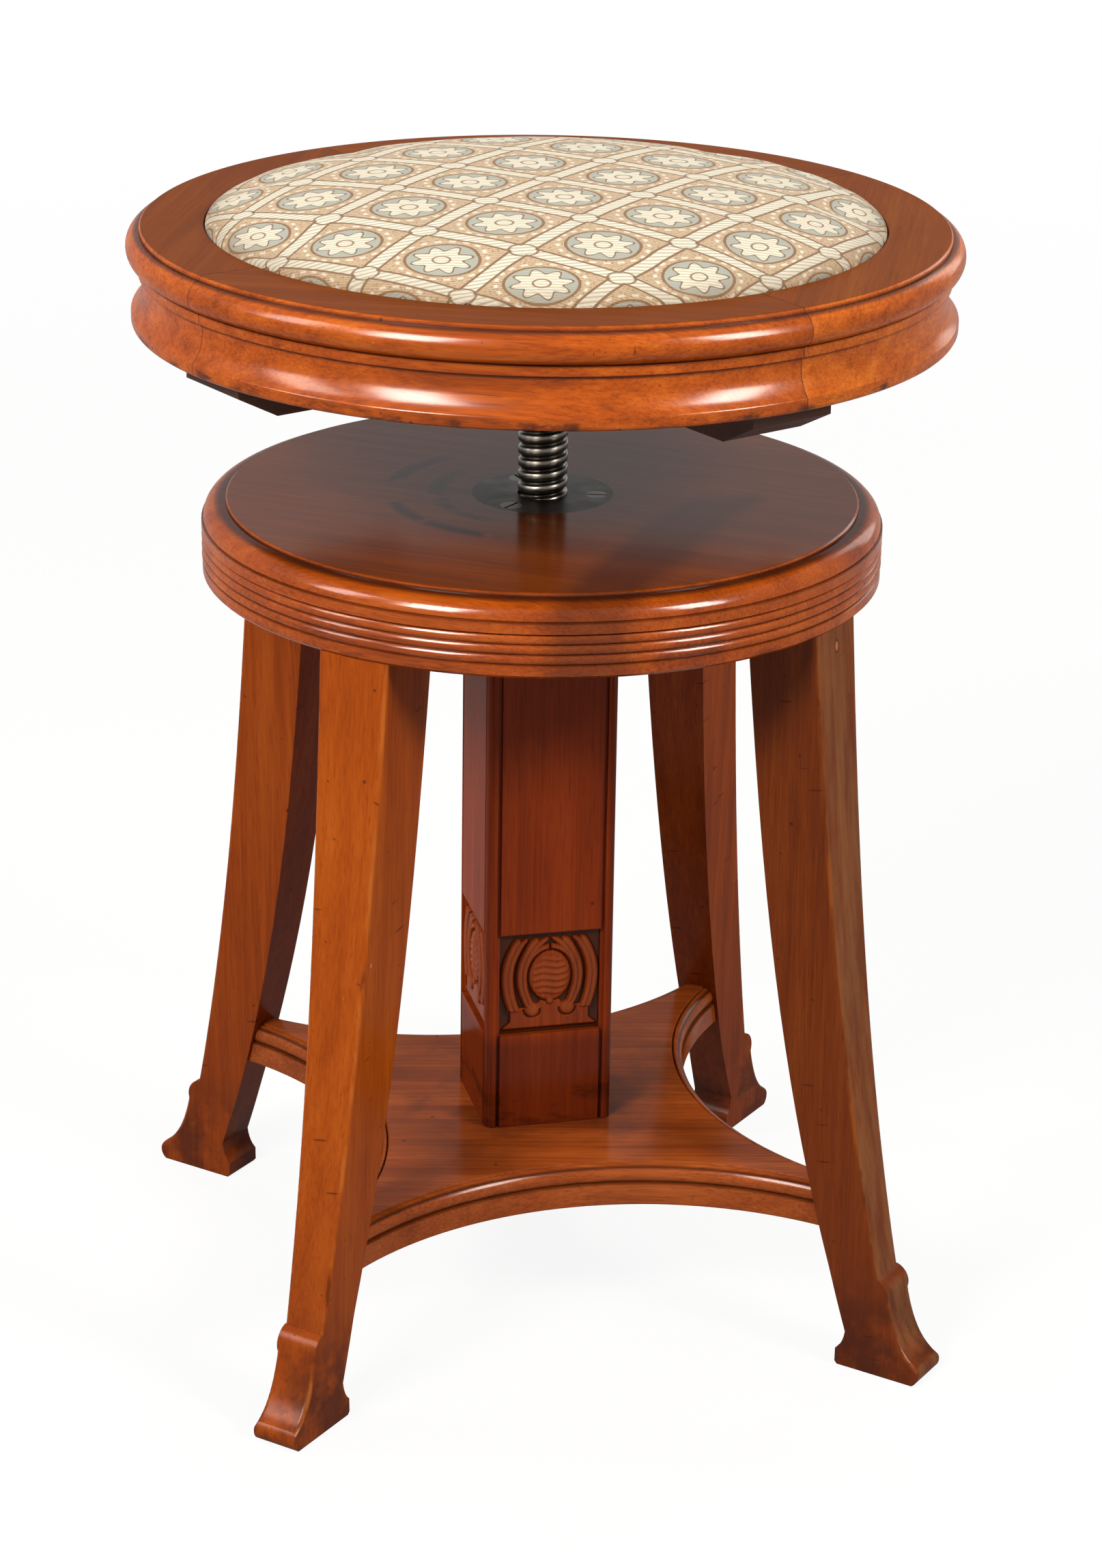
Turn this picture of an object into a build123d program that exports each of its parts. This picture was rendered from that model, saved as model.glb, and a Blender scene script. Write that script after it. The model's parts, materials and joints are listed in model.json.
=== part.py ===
# Revolving piano stool: a padded round seat on a lead screw, a moulded round base, a hollow square
# column, a hollow-sided undershelf and four sabre legs.
# Millimetres, +Z up, floor at Z 0, screw axis along Z, front towards -Y, legs on the diagonals.

import os

from build123d import *

os.makedirs("parts", exist_ok=True)

# Heights, from the floor up, with the seat wound to a middling height
LEG_HEIGHT = 340.0
PLATFORM_BOTTOM = 64.4
PLATFORM_THICKNESS = 19.0
DISC_THICKNESS = 33.4
SEAT_GAP = 62.8  # base disc to bearers
BEARER_THICKNESS = 15.8
RIM_THICKNESS = 41.4
PAD_RISE = 18.6  # crown of the pad over the rim

PLATFORM_TOP = PLATFORM_BOTTOM + PLATFORM_THICKNESS
DISC_TOP = LEG_HEIGHT + DISC_THICKNESS
BEARER_BOTTOM = DISC_TOP + SEAT_GAP
RIM_BOTTOM = BEARER_BOTTOM + BEARER_THICKNESS
RIM_TOP = RIM_BOTTOM + RIM_THICKNESS
PAD_CROWN = RIM_TOP + PAD_RISE

# Seat rim
SEAT_RADIUS = 178.0
RIM_BORDER = 33.0  # rim's top, from its widest point in to the pad
LEDGE_WIDTH = 23.0  # ledge that carries the pad
REBATE_DEPTH = 23.4
RIM_QUIRK = 2.2
TORUS_HEIGHT = 13.0
RIM_FILLET = 5.5
RIM_BAND = 5.8
LIP_ROUND = 1.0  # between cove and band
EDGE_ROUND = 2.0  # under the band
TORUS_SETBACK = 4.4  # mouldings, inwards from the rim's widest point
FILLET_SETBACK = 5.1
COVE_SETBACK = 6.8
BAND_SETBACK = 1.8
QUIRK_SIDE = 0.5  # steps of the quirk and the fillet, inwards from the fillet
QUIRK_MOUTH = 0.7
QUIRK_EASE = 0.8  # slope into the quirk, down from the top
FILLET_TOP_FALL = 0.3  # ends of the fillet, down from the torus
FILLET_FALL = 0.8
FILLET_SLOPE = 0.7  # under the fillet, down to the cove
SEAM_ANGLE = 23.0  # first glued seam; the bearers cross the seams
RIM_DOWEL_RADIUS = 4.0
RIM_DOWEL_LENGTH = 40.0
RIM_DOWEL_INSET = 30.0  # dowels, outwards from the well
RIM_DOWEL_HEIGHT = 9.0

# Drop-in pad
PAD_CLEARANCE = 0.4
COVER_THICKNESS = 1.2
CROWN_SHOULDER = 26.6  # width of the rounded edge of the crown
CROWN_FALL = 7.0  # from the crown down to its rounded edge
SHOULDER_FALL = 0.9  # cover's shoulder below the rim's top, and the stuffing's below the cover's
FOLD_CHAMFER = 1.0
FRAME_OVERHANG = 10.0  # frame, inwards from the rim's well
FOLD_MARGIN = 2.0  # cover's folded edge, outwards from the frame's bore
FRAME_THICKNESS = 13.8
STRAP_WIDTH = 50.0
STRAP_THICKNESS = 1.5
STRAP_SPACING = 72.0
STRAP_MARGIN = 2.4
TACKS = 24
TACK_HEAD = 3.4
TACK_HEAD_THICKNESS = 0.9
TACK_SHANK = 0.8
TACK_LENGTH = 9.0

# Bearers
BEARER_WIDTH = 40.0
BEARER_INSET = 11.0  # ends, inwards from the rim's widest point
BEVEL_LENGTH = 18.5
BEVEL_HEIGHT = 9.7
RIM_SCREW_INSET = 15.0  # screws, outwards from the well
RIM_SCREW_SPACING = 24.0

# Wood screws: head and shank radii, and lengths
LARGE_SCREW = (4.5, 2.2)
MIDDLE_SCREW = (4.8, 2.4)
SMALL_SCREW = (4.0, 2.2)
SLOT_WIDTH = 1.2
SLOT_DEPTH = 0.9
RIM_SCREW_LENGTH = 28.8
FLANGE_SCREW_LENGTH = 17.8
PLATE_SCREW_LENGTH = 21.4
COLUMN_SCREW_LENGTH = 47.6

# Lead screw and its fittings
SCREW_RADIUS = 10.75
SCREW_LENGTH = 180.9
SCREW_FIT = 0.1
FLANGE_RADIUS = 42.0
FLANGE_THICKNESS = 5.0
FLANGE_CHAMFER = 1.2
FLANGE_SCREW_INSET = 11.0
TOP_JOURNAL = 8.0
NUT_WIDTH = 28.0
NUT_HEIGHT = 10.0
NUT_CHAMFER = 1.0
SCREW_CHAMFER = 1.2
TIP_CHAMFER = 1.0
TIP_RISE = 2.5  # screw's upper end over the nut
GUIDE_JOURNAL = 7.0
GUIDE_THICKNESS = 11.7
GUIDE_PLAY = 0.3
GUIDE_CHAMFER = 2.0
BOLT_HEAD = 11.0
BOLT_HEAD_HEIGHT = 5.0
BOLT_HEAD_ROUND = 1.5
BOLT_SLOT_WIDTH = 2.0
BOLT_SLOT_DEPTH = 1.8
BOLT_SHANK = 3.5
BOLT_LENGTH = 18.0

# Base disc and nut plate
DISC_RADIUS = 148.0
DISC_QUIRK = 1.6
DISC_TORUS_WIDTH = 9.4
DISC_TORUS_HEIGHT = 7.4
DISC_QUIRK_WIDTH = 2.0  # quirk, inwards from the torus at its mouth, slope and root
DISC_QUIRK_SLOPE = 1.2
DISC_QUIRK_ROOT = 1.1
DISC_QUIRK_EASE = 0.6
DISC_TORUS_STEP = 0.8  # under the torus, inwards and down to the band
BAND_EASE = 0.3
DISC_BAND = 4.4
REEDS = 3
REED_PITCH = 4.3
REED_DEPTH = 1.1
REED_STEP = 0.5  # slopes over and under the reeds
DISC_FOOT_SETBACK = 0.3
DISC_FOOT_CHAMFER = 1.2
PLATE_RADIUS = 30.7
PLATE_THICKNESS = 3.2
PLATE_SCREW_INSET = 7.2
PLATE_SCREW_ANGLES = (-18.0, 102.0, 222.0)
BARREL_RADIUS = 16.0
BARREL_DROP = 8.0  # below the disc

# Column
COLUMN_WIDTH = 58.4
SHAFT_WIDTH = 34.4  # hollow inside the four boards
CORNER_RADIUS = 4.0
QUIRK_INSET = 5.4
QUIRK_WIDTH = 1.6
QUIRK_DEPTH = 1.8
FRIEZE_RISE = 45.1  # over the platform
FRIEZE_HEIGHT = 49.0
FRIEZE_DEPTH = 3.0

# Platform
HOLLOW_CENTRE = 233.0  # centre of each hollow side, from the screw axis
HOLLOW_RADIUS = 156.5
BEAD_HEIGHT = 8.6
BEAD_WIDTH = 5.0
BEAD_SETBACK = 1.8  # bead's foot and belly, inwards from the hollow side
BEAD_BELLY = 0.9
BEAD_FOOT_FALL = 0.6
BEAD_TOP_FALL = 0.4
BEAD_QUIRK = 0.6  # half the width of the quirk inside the bead
BEAD_QUIRK_DEPTH = 1.6

# Legs: radii of their faces from the screw axis, and their widths
LEG_TOP_REACH = 146.0
LEG_TOP_DEPTH = 33.0
LEG_TOP_WIDTH = 34.4
LEG_ARRIS = 2.0
TOP_SLOPE = 0.08  # outward lean of the leg's faces at the top
OUTER_SLOPE = 0.22  # outward lean of the outer face at the ankle
INNER_SLOPE = 0.35  # outward lean of the inner face at the heel
ANKLE_HEIGHT = 46.5
ANKLE_REACH = 185.0
ANKLE_WIDTH = 19.6
ANKLE_STEP = 5.6  # foot's shoulder, outwards and down from the ankle
ANKLE_STEP_HEIGHT = 7.2
TOE_REACH = 207.2
TOE_HEIGHT = 9.0
TOE_ROUND = 2.3  # setback of the rounded toe at its top and bottom
FOOT_WIDTH = 21.6
HEEL_REACH = 166.0
HEEL_HEIGHT = 17.0
HEEL_FLARE = 4.4  # hollow of the heel, outwards at its top and half way
HEEL_BOW = 3.6
HEEL_BOW_HEIGHT = 10.4
HEEL_FACE_TOP = 7.6
HEEL_EASE = 1.2
HEEL_EASE_HEIGHT = 1.4
LEG_DOWEL_RADIUS = 7.0
LEG_DOWEL_LENGTH = 44.0
ARM_DOWEL_RADIUS = 3.5
SLICE_HALF = 0.1  # half the height of the thin slice that is cut to find an arm's end
ARM_DOWEL_LENGTH = 32.0
ARM_DOWEL_HEIGHT = 7.1  # over the platform's underside
LEG_ANGLES = {"leg_back_right": 45, "leg_back_left": 135, "leg_front_left": 225, "leg_front_right": 315}

SEAMS = [SEAM_ANGLE + 90 * n for n in range(4)]
QUARTERS = [90 * n for n in range(4)]
UPWARD = (Align.CENTER, Align.CENTER, Align.MIN)


def save(piece, node):
    """Write one node of the assembly."""
    export_step(piece, f"parts/{node}.step")


def turn(piece, angle):
    """Copy of a piece, turned about the screw axis."""
    return Rot(0, 0, angle) * piece


def ring_of(pieces, angles):
    """Separate copies of some pieces at several angles about the screw axis."""
    return [turn(piece, angle) for piece in pieces for angle in angles]


def peg(radius, bottom, top, distance=0.0):
    """Upright cylinder at a distance from the screw axis."""
    return Pos(distance, 0, bottom) * Cylinder(radius, top - bottom, align=UPWARD)


def block(width, depth, bottom, top):
    """Upright box centred on the screw axis."""
    return Pos(0, 0, bottom) * Box(width, depth, top - bottom, align=UPWARD)


def bored(piece, holes):
    """A piece with every hole taken out of it."""
    for hole in holes:
        piece = piece - hole
    return piece


def screw_hole(radii, head, length, distance, offset=0.0):
    """The countersunk hole that a wood screw fills; a negative length points down."""
    head_radius, shank_radius = radii
    way = 1 if length > 0 else -1
    tip = head + length
    neck = head + way * (head_radius - shank_radius)
    with BuildSketch(Plane.XZ) as section:
        with BuildLine():
            Polyline(
                (0, head),
                (head_radius, head),
                (shank_radius, neck),
                (shank_radius, tip - way * shank_radius),
                (0, tip),
                close=True,
            )
        make_face()
    return Pos(distance, offset, 0) * revolve(section.sketch, axis=Axis.Z)


def wood_screw(radii, head, length, distance, offset=0.0):
    """A slotted countersunk screw that fills its hole."""
    slot = Pos(distance, offset, head) * Box(3 * radii[0], SLOT_WIDTH, 2 * SLOT_DEPTH)
    return screw_hole(radii, head, length, distance, offset) - slot


# Seat rim: flat top, quirk, torus, fillet, flaring cove and plain band, in four glued quarters
pad_opening = SEAT_RADIUS - RIM_BORDER
rim_well = pad_opening - LEDGE_WIDTH
ledge = RIM_TOP - REBATE_DEPTH
torus_top = RIM_TOP - RIM_QUIRK
torus_bottom = torus_top - TORUS_HEIGHT
cove_top = torus_bottom - RIM_FILLET
cove_bottom = RIM_BOTTOM + RIM_BAND
cove_third = (cove_top - cove_bottom) / 3
torus_root = SEAT_RADIUS - TORUS_SETBACK
fillet_face = SEAT_RADIUS - FILLET_SETBACK
cove_root = SEAT_RADIUS - COVE_SETBACK
band_face = SEAT_RADIUS - BAND_SETBACK
cove_edge = band_face - 0.3 * LIP_ROUND
with BuildSketch(Plane.XZ) as rim_section:
    with BuildLine():
        Polyline(
            (rim_well, RIM_BOTTOM),
            (rim_well, ledge),
            (pad_opening, ledge),
            (pad_opening, RIM_TOP),
            (cove_root, RIM_TOP),
            (fillet_face - QUIRK_MOUTH, RIM_TOP - QUIRK_EASE),
            (fillet_face - QUIRK_SIDE, torus_top),
            (torus_root, torus_top),
        )
        ThreePointArc(
            (torus_root, torus_top),
            (SEAT_RADIUS, (torus_top + torus_bottom) / 2),
            (torus_root, torus_bottom),
        )
        Polyline(
            (torus_root, torus_bottom),
            (fillet_face - QUIRK_SIDE, torus_bottom - FILLET_TOP_FALL),
            (fillet_face, torus_bottom - FILLET_FALL),
            (fillet_face, cove_top + FILLET_SLOPE),
            (cove_root, cove_top),
        )
        Bezier(
            (cove_root, cove_top),
            (cove_root, cove_top - cove_third),
            (cove_root, cove_top - 2 * cove_third),
            (cove_edge, cove_bottom),
        )
        TangentArc(
            (cove_edge, cove_bottom),
            (band_face, cove_bottom - 0.7 * LIP_ROUND),
            tangent=(cove_edge - cove_root, -cove_third),
        )
        Line((band_face, cove_bottom - 0.7 * LIP_ROUND), (band_face, RIM_BOTTOM + EDGE_ROUND))
        TangentArc(
            (band_face, RIM_BOTTOM + EDGE_ROUND),
            (band_face - EDGE_ROUND, RIM_BOTTOM),
            tangent=(0, -1),
        )
        Line((band_face - EDGE_ROUND, RIM_BOTTOM), (rim_well, RIM_BOTTOM))
    make_face()
rim_quarter = revolve(rim_section.sketch, axis=Axis.Z, revolution_arc=90)

rim_dowel_place = Pos(rim_well + RIM_DOWEL_INSET, 0, RIM_BOTTOM + RIM_DOWEL_HEIGHT)
rim_dowel = rim_dowel_place * Rot(90, 0, 0) * Cylinder(RIM_DOWEL_RADIUS, RIM_DOWEL_LENGTH)
rim_screw = dict(
    radii=LARGE_SCREW,
    head=BEARER_BOTTOM,
    length=RIM_SCREW_LENGTH,
    distance=rim_well + RIM_SCREW_INSET,
)
screw_sides = (-RIM_SCREW_SPACING / 2, RIM_SCREW_SPACING / 2)
rim_screw_holes = [screw_hole(**rim_screw, offset=side) for side in screw_sides]
for number, seam in enumerate(SEAMS, start=1):
    end_holes = ring_of([rim_dowel] + rim_screw_holes, (seam, seam + 90))
    save(bored(turn(rim_quarter, seam), end_holes), f"rim_{number}")
save(Compound(children=ring_of([rim_dowel], SEAMS)), "rim_dowels")

# Bearers: two bars halved across each other, their ends bevelled underneath
bearer_reach = SEAT_RADIUS - BEARER_INSET
bevel_start = bearer_reach - BEVEL_LENGTH
bevel_top = BEARER_BOTTOM + BEVEL_HEIGHT
flange_bottom = BEARER_BOTTOM - FLANGE_THICKNESS
flange_screw = dict(
    radii=SMALL_SCREW,
    head=flange_bottom,
    length=FLANGE_SCREW_LENGTH,
    distance=FLANGE_RADIUS - FLANGE_SCREW_INSET,
)
flange_screw_hole = screw_hole(**flange_screw)
with BuildSketch(Plane.XZ) as bearer_side:
    with BuildLine():
        Polyline(
            (bearer_reach, RIM_BOTTOM),
            (bearer_reach, bevel_top),
            (bevel_start, BEARER_BOTTOM),
            (-bevel_start, BEARER_BOTTOM),
            (-bearer_reach, bevel_top),
            (-bearer_reach, RIM_BOTTOM),
            close=True,
        )
    make_face()
bearer = extrude(bearer_side.sketch, BEARER_WIDTH / 2, both=True)
bearer = bored(bearer, ring_of(rim_screw_holes + [flange_screw_hole], (0, 180)))
bearer = bearer - peg(TOP_JOURNAL, BEARER_BOTTOM, RIM_BOTTOM)
bearer_middle = (BEARER_BOTTOM + RIM_BOTTOM) / 2
upper_lap = block(BEARER_WIDTH, BEARER_WIDTH, bearer_middle, RIM_BOTTOM)
lower_lap = block(BEARER_WIDTH, BEARER_WIDTH, BEARER_BOTTOM, bearer_middle)
save(turn(bearer - upper_lap, SEAM_ANGLE), "bearer_a")
save(turn(bearer - lower_lap, SEAM_ANGLE + 90), "bearer_b")
bearer_screws = [wood_screw(**rim_screw, offset=side) for side in screw_sides]
save(Compound(children=ring_of(bearer_screws, SEAMS)), "bearer_screws")

# Flange and nut that clamp the lead screw to the bearers
flange = peg(FLANGE_RADIUS, flange_bottom, BEARER_BOTTOM)
flange = chamfer(flange.edges().group_by(Axis.Z)[0], FLANGE_CHAMFER)
flange = bored(flange, ring_of([flange_screw_hole], SEAMS))
save(flange - peg(TOP_JOURNAL, flange_bottom, BEARER_BOTTOM), "screw_flange")
save(Compound(children=ring_of([wood_screw(**flange_screw)], SEAMS)), "flange_screws")

nut_top = RIM_BOTTOM + NUT_HEIGHT
nut = turn(block(NUT_WIDTH, NUT_WIDTH, RIM_BOTTOM, nut_top), SEAM_ANGLE + 45)
nut = chamfer(nut.edges().group_by(Axis.Z)[-1], NUT_CHAMFER)
save(nut - peg(TOP_JOURNAL, RIM_BOTTOM, nut_top), "screw_nut")

# Lead screw, with the guide that runs in the column's shaft and the bolt that keeps it on
screw_bottom = flange_bottom - SCREW_LENGTH
screw_top = nut_top + TIP_RISE
guide_top = screw_bottom - GUIDE_PLAY
guide_bottom = guide_top - GUIDE_THICKNESS
journal_end = guide_bottom - GUIDE_PLAY
bolt_shank = peg(BOLT_SHANK, journal_end, journal_end + BOLT_LENGTH)
with BuildSketch(Plane.XZ) as screw_section:
    with BuildLine():
        Polyline(
            (0, journal_end),
            (GUIDE_JOURNAL, journal_end),
            (GUIDE_JOURNAL, screw_bottom),
            (SCREW_RADIUS - SCREW_CHAMFER, screw_bottom),
            (SCREW_RADIUS, screw_bottom + SCREW_CHAMFER),
            (SCREW_RADIUS, flange_bottom),
            (TOP_JOURNAL, flange_bottom),
            (TOP_JOURNAL, screw_top - TIP_CHAMFER),
            (TOP_JOURNAL - TIP_CHAMFER, screw_top),
            (0, screw_top),
            close=True,
        )
    make_face()
save(revolve(screw_section.sketch, axis=Axis.Z) - bolt_shank, "seat_screw")

bolt_bottom = journal_end - BOLT_HEAD_HEIGHT
bolt_head = peg(BOLT_HEAD, bolt_bottom, journal_end)
bolt_head = fillet(bolt_head.edges().group_by(Axis.Z)[0], BOLT_HEAD_ROUND)
bolt_slot = Pos(0, 0, bolt_bottom) * Box(3 * BOLT_HEAD, BOLT_SLOT_WIDTH, 2 * BOLT_SLOT_DEPTH)
save(bolt_head + bolt_shank - bolt_slot, "guide_bolt")

guide_width = SHAFT_WIDTH - 2 * GUIDE_PLAY
guide = block(guide_width, guide_width, guide_bottom, guide_top)
guide = chamfer(guide.edges().filter_by(Axis.Z), GUIDE_CHAMFER)
save(guide - peg(GUIDE_JOURNAL + SCREW_FIT, guide_bottom, guide_top), "guide_block")

# Drop-in pad: frame, webbing, stuffing, cover and tacks
pad_radius = pad_opening - PAD_CLEARANCE
frame_bore = rim_well - FRAME_OVERHANG
frame_radius = pad_radius - COVER_THICKNESS
frame_bottom = ledge + COVER_THICKNESS
frame_top = frame_bottom + FRAME_THICKNESS
fold_radius = frame_bore + FOLD_MARGIN
tack_circle = fold_radius + TACK_HEAD
tack_angles = [360 / TACKS * n for n in range(TACKS)]
tack_shank = peg(TACK_SHANK, ledge, ledge + TACK_LENGTH, tack_circle)
tack = tack_shank + peg(TACK_HEAD, ledge - TACK_HEAD_THICKNESS, ledge, tack_circle)
tack_holes = ring_of([tack_shank], tack_angles)
frame = peg(frame_radius, frame_bottom, frame_top) - peg(frame_bore, frame_bottom, frame_top)
save(bored(frame, tack_holes), "pad_frame")
save(Compound(children=ring_of([tack], tack_angles)), "cover_tacks")

strap_reach = frame_radius - STRAP_MARGIN
webbing_middle = frame_top + STRAP_THICKNESS
webbing_top = webbing_middle + STRAP_THICKNESS
with BuildSketch() as strap_plan:
    with Locations((0, -STRAP_SPACING), (0, 0), (0, STRAP_SPACING)):
        Rectangle(2 * strap_reach, STRAP_WIDTH)
    Circle(strap_reach, mode=Mode.INTERSECT)
straps = extrude(strap_plan.sketch, STRAP_THICKNESS)
save(Pos(0, 0, frame_top) * straps, "webbing_lower")
save(turn(Pos(0, 0, webbing_middle) * straps, 90), "webbing_upper")


def dome(radius, top, shoulder, floor):
    """Solid under a crown: a shallow arc over the middle, turned down into an upright side."""
    spring = (radius - CROWN_SHOULDER, top - CROWN_FALL)
    with BuildSketch(Plane.XZ) as section:
        with BuildLine():
            over = ThreePointArc((0, top), (spring[0] / 2, top - CROWN_FALL / 4), spring)
            TangentArc(spring, (radius, shoulder), tangent=over % 1)
            Polyline((radius, shoulder), (radius, floor), (0, floor), (0, top))
        make_face()
    return revolve(section.sketch, axis=Axis.Z)


shoulder = RIM_TOP - SHOULDER_FALL
inner_shoulder = shoulder - SHOULDER_FALL
inner_crown = PAD_CROWN - COVER_THICKNESS
save(dome(frame_radius, inner_crown, inner_shoulder, webbing_top), "pad_stuffing")
cover = dome(pad_radius, PAD_CROWN, shoulder, ledge)
cover = chamfer(cover.edges().group_by(Axis.Z)[0], FOLD_CHAMFER)
cover = cover - dome(frame_radius, inner_crown, inner_shoulder, frame_bottom)
cover = cover - peg(fold_radius, ledge, frame_bottom)
save(bored(cover, tack_holes), "pad_cover")

# Base disc: quirked edge, torus, flat band, reeds and a plain foot
torus_start = DISC_RADIUS - DISC_TORUS_WIDTH
disc_torus_top = DISC_TOP - DISC_QUIRK
disc_torus_bottom = disc_torus_top - DISC_TORUS_HEIGHT
band_top = disc_torus_bottom - DISC_TORUS_STEP
reed_top = band_top - DISC_BAND - REED_STEP
reed_root = DISC_RADIUS - REED_DEPTH
reed_bottom = reed_top - REEDS * REED_PITCH
foot_face = DISC_RADIUS - DISC_FOOT_SETBACK
with BuildSketch(Plane.XZ) as disc_section:
    with BuildLine():
        Polyline(
            (0, LEG_HEIGHT),
            (0, DISC_TOP),
            (torus_start - DISC_QUIRK_WIDTH, DISC_TOP),
            (torus_start - DISC_QUIRK_SLOPE, DISC_TOP - DISC_QUIRK_EASE),
            (torus_start - DISC_QUIRK_ROOT, disc_torus_top),
            (torus_start, disc_torus_top),
        )
        EllipticalCenterArc(
            (torus_start, disc_torus_bottom),
            x_radius=DISC_TORUS_WIDTH - DISC_TORUS_STEP,
            y_radius=DISC_TORUS_HEIGHT,
            start_angle=0,
            arc_size=90,
        )
        Polyline(
            (DISC_RADIUS - DISC_TORUS_STEP, disc_torus_bottom),
            (reed_root, band_top + BAND_EASE),
            (DISC_RADIUS, band_top),
            (DISC_RADIUS, band_top - DISC_BAND),
            (reed_root, reed_top),
        )
        for number in range(REEDS):
            high = reed_top - number * REED_PITCH
            low = high - REED_PITCH
            ThreePointArc((reed_root, high), (DISC_RADIUS, (high + low) / 2), (reed_root, low))
        Polyline(
            (reed_root, reed_bottom),
            (foot_face, reed_bottom - REED_STEP),
            (foot_face, LEG_HEIGHT + DISC_FOOT_CHAMFER),
            (foot_face - DISC_FOOT_CHAMFER, LEG_HEIGHT),
            (0, LEG_HEIGHT),
        )
    make_face()
disc = revolve(disc_section.sketch, axis=Axis.Z)
plate_bottom = DISC_TOP - PLATE_THICKNESS
plate_screw = dict(
    radii=MIDDLE_SCREW,
    head=DISC_TOP,
    length=-PLATE_SCREW_LENGTH,
    distance=PLATE_RADIUS - PLATE_SCREW_INSET,
)
plate_screw_holes = ring_of([screw_hole(**plate_screw)], PLATE_SCREW_ANGLES)
leg_dowel = peg(
    LEG_DOWEL_RADIUS,
    LEG_HEIGHT - LEG_DOWEL_LENGTH / 2,
    LEG_HEIGHT + LEG_DOWEL_LENGTH / 2,
    LEG_TOP_REACH - LEG_TOP_DEPTH / 2,
)
leg_dowels = ring_of([leg_dowel], LEG_ANGLES.values())
disc = disc - peg(BARREL_RADIUS, LEG_HEIGHT, DISC_TOP) - peg(PLATE_RADIUS, plate_bottom, DISC_TOP)
save(bored(disc, leg_dowels + plate_screw_holes), "base_disc")
save(Compound(children=leg_dowels), "leg_dowels")

barrel_bottom = LEG_HEIGHT - BARREL_DROP
nut_plate = peg(PLATE_RADIUS, plate_bottom, DISC_TOP) + peg(BARREL_RADIUS, barrel_bottom, DISC_TOP)
nut_bore = peg(SCREW_RADIUS + SCREW_FIT, barrel_bottom, DISC_TOP)
save(bored(nut_plate, plate_screw_holes + [nut_bore]), "nut_plate")
save(Compound(children=ring_of([wood_screw(**plate_screw)], PLATE_SCREW_ANGLES)), "nut_plate_screws")

# Column: four mitred boards round a square shaft, with quirked corner beads and sunk friezes
half = COLUMN_WIDTH / 2
quirk = half - QUIRK_INSET
column_height = LEG_HEIGHT - PLATFORM_TOP
with BuildSketch() as column_plan:
    RectangleRounded(COLUMN_WIDTH, COLUMN_WIDTH, CORNER_RADIUS)
    Rectangle(SHAFT_WIDTH, SHAFT_WIDTH, mode=Mode.SUBTRACT)
    for angle in QUARTERS:
        with Locations(Rot(0, 0, angle)):
            with Locations((quirk, -half), (-quirk, -half)):
                Rectangle(QUIRK_WIDTH, 2 * QUIRK_DEPTH, mode=Mode.SUBTRACT)
with BuildSketch() as mitre_plan:
    with BuildLine():
        Polyline((0, 0), (-COLUMN_WIDTH, -COLUMN_WIDTH), (COLUMN_WIDTH, -COLUMN_WIDTH), close=True)
    make_face()
column = extrude(Pos(0, 0, PLATFORM_TOP) * column_plan.sketch, column_height)
mitre = extrude(Pos(0, 0, PLATFORM_TOP) * mitre_plan.sketch, column_height)
frieze_bottom = PLATFORM_TOP + FRIEZE_RISE
frieze_width = 2 * quirk - QUIRK_WIDTH
frieze_top = frieze_bottom + FRIEZE_HEIGHT
frieze = Pos(0, -half, 0) * block(frieze_width, 2 * FRIEZE_DEPTH, frieze_bottom, frieze_top)
column_screw = dict(
    radii=LARGE_SCREW,
    head=PLATFORM_BOTTOM,
    length=COLUMN_SCREW_LENGTH,
    distance=(half + SHAFT_WIDTH / 2) / 2,
)
column_screw_holes = ring_of([screw_hole(**column_screw)], QUARTERS)
board = (column & mitre) - frieze
for angle, name in zip(QUARTERS, ("column_front", "column_right", "column_back", "column_left")):
    save(bored(turn(board, angle), column_screw_holes), name)
save(Compound(children=ring_of([wood_screw(**column_screw)], QUARTERS)), "column_screws")

# Legs: a tapering sabre-curved shank with eased edges, on an ogee foot
shank = LEG_HEIGHT - ANKLE_HEIGHT
inner_fall = LEG_HEIGHT - HEEL_HEIGHT
heel_top = HEEL_REACH + HEEL_FLARE
top_inside = LEG_TOP_REACH - LEG_TOP_DEPTH
ankle_out = ANKLE_REACH + ANKLE_STEP
ankle_low = ANKLE_HEIGHT - ANKLE_STEP_HEIGHT
toe_top = (TOE_REACH - 0.8 * TOE_ROUND, TOE_HEIGHT)
toe_bottom = (TOE_REACH - 1.2 * TOE_ROUND, 0)
shank_end = (ANKLE_REACH + OUTER_SLOPE * (ANKLE_HEIGHT - HEEL_HEIGHT), HEEL_HEIGHT)
outer_curve = (
    (LEG_TOP_REACH, LEG_HEIGHT),
    (LEG_TOP_REACH + TOP_SLOPE * shank / 3, LEG_HEIGHT - shank / 3),
    (ANKLE_REACH - OUTER_SLOPE * shank / 3, ANKLE_HEIGHT + shank / 3),
    (ANKLE_REACH, ANKLE_HEIGHT),
)
inner_curve = (
    (heel_top, HEEL_HEIGHT),
    (heel_top - INNER_SLOPE * inner_fall / 3, HEEL_HEIGHT + inner_fall / 3),
    (top_inside + TOP_SLOPE * inner_fall / 3, LEG_HEIGHT - inner_fall / 3),
    (top_inside, LEG_HEIGHT),
)


def both_ways(sketch):
    """Slab of a leg's side view, wider than any leg."""
    return Pos(0, LEG_TOP_WIDTH, 0) * extrude(sketch, 2 * LEG_TOP_WIDTH)


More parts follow.
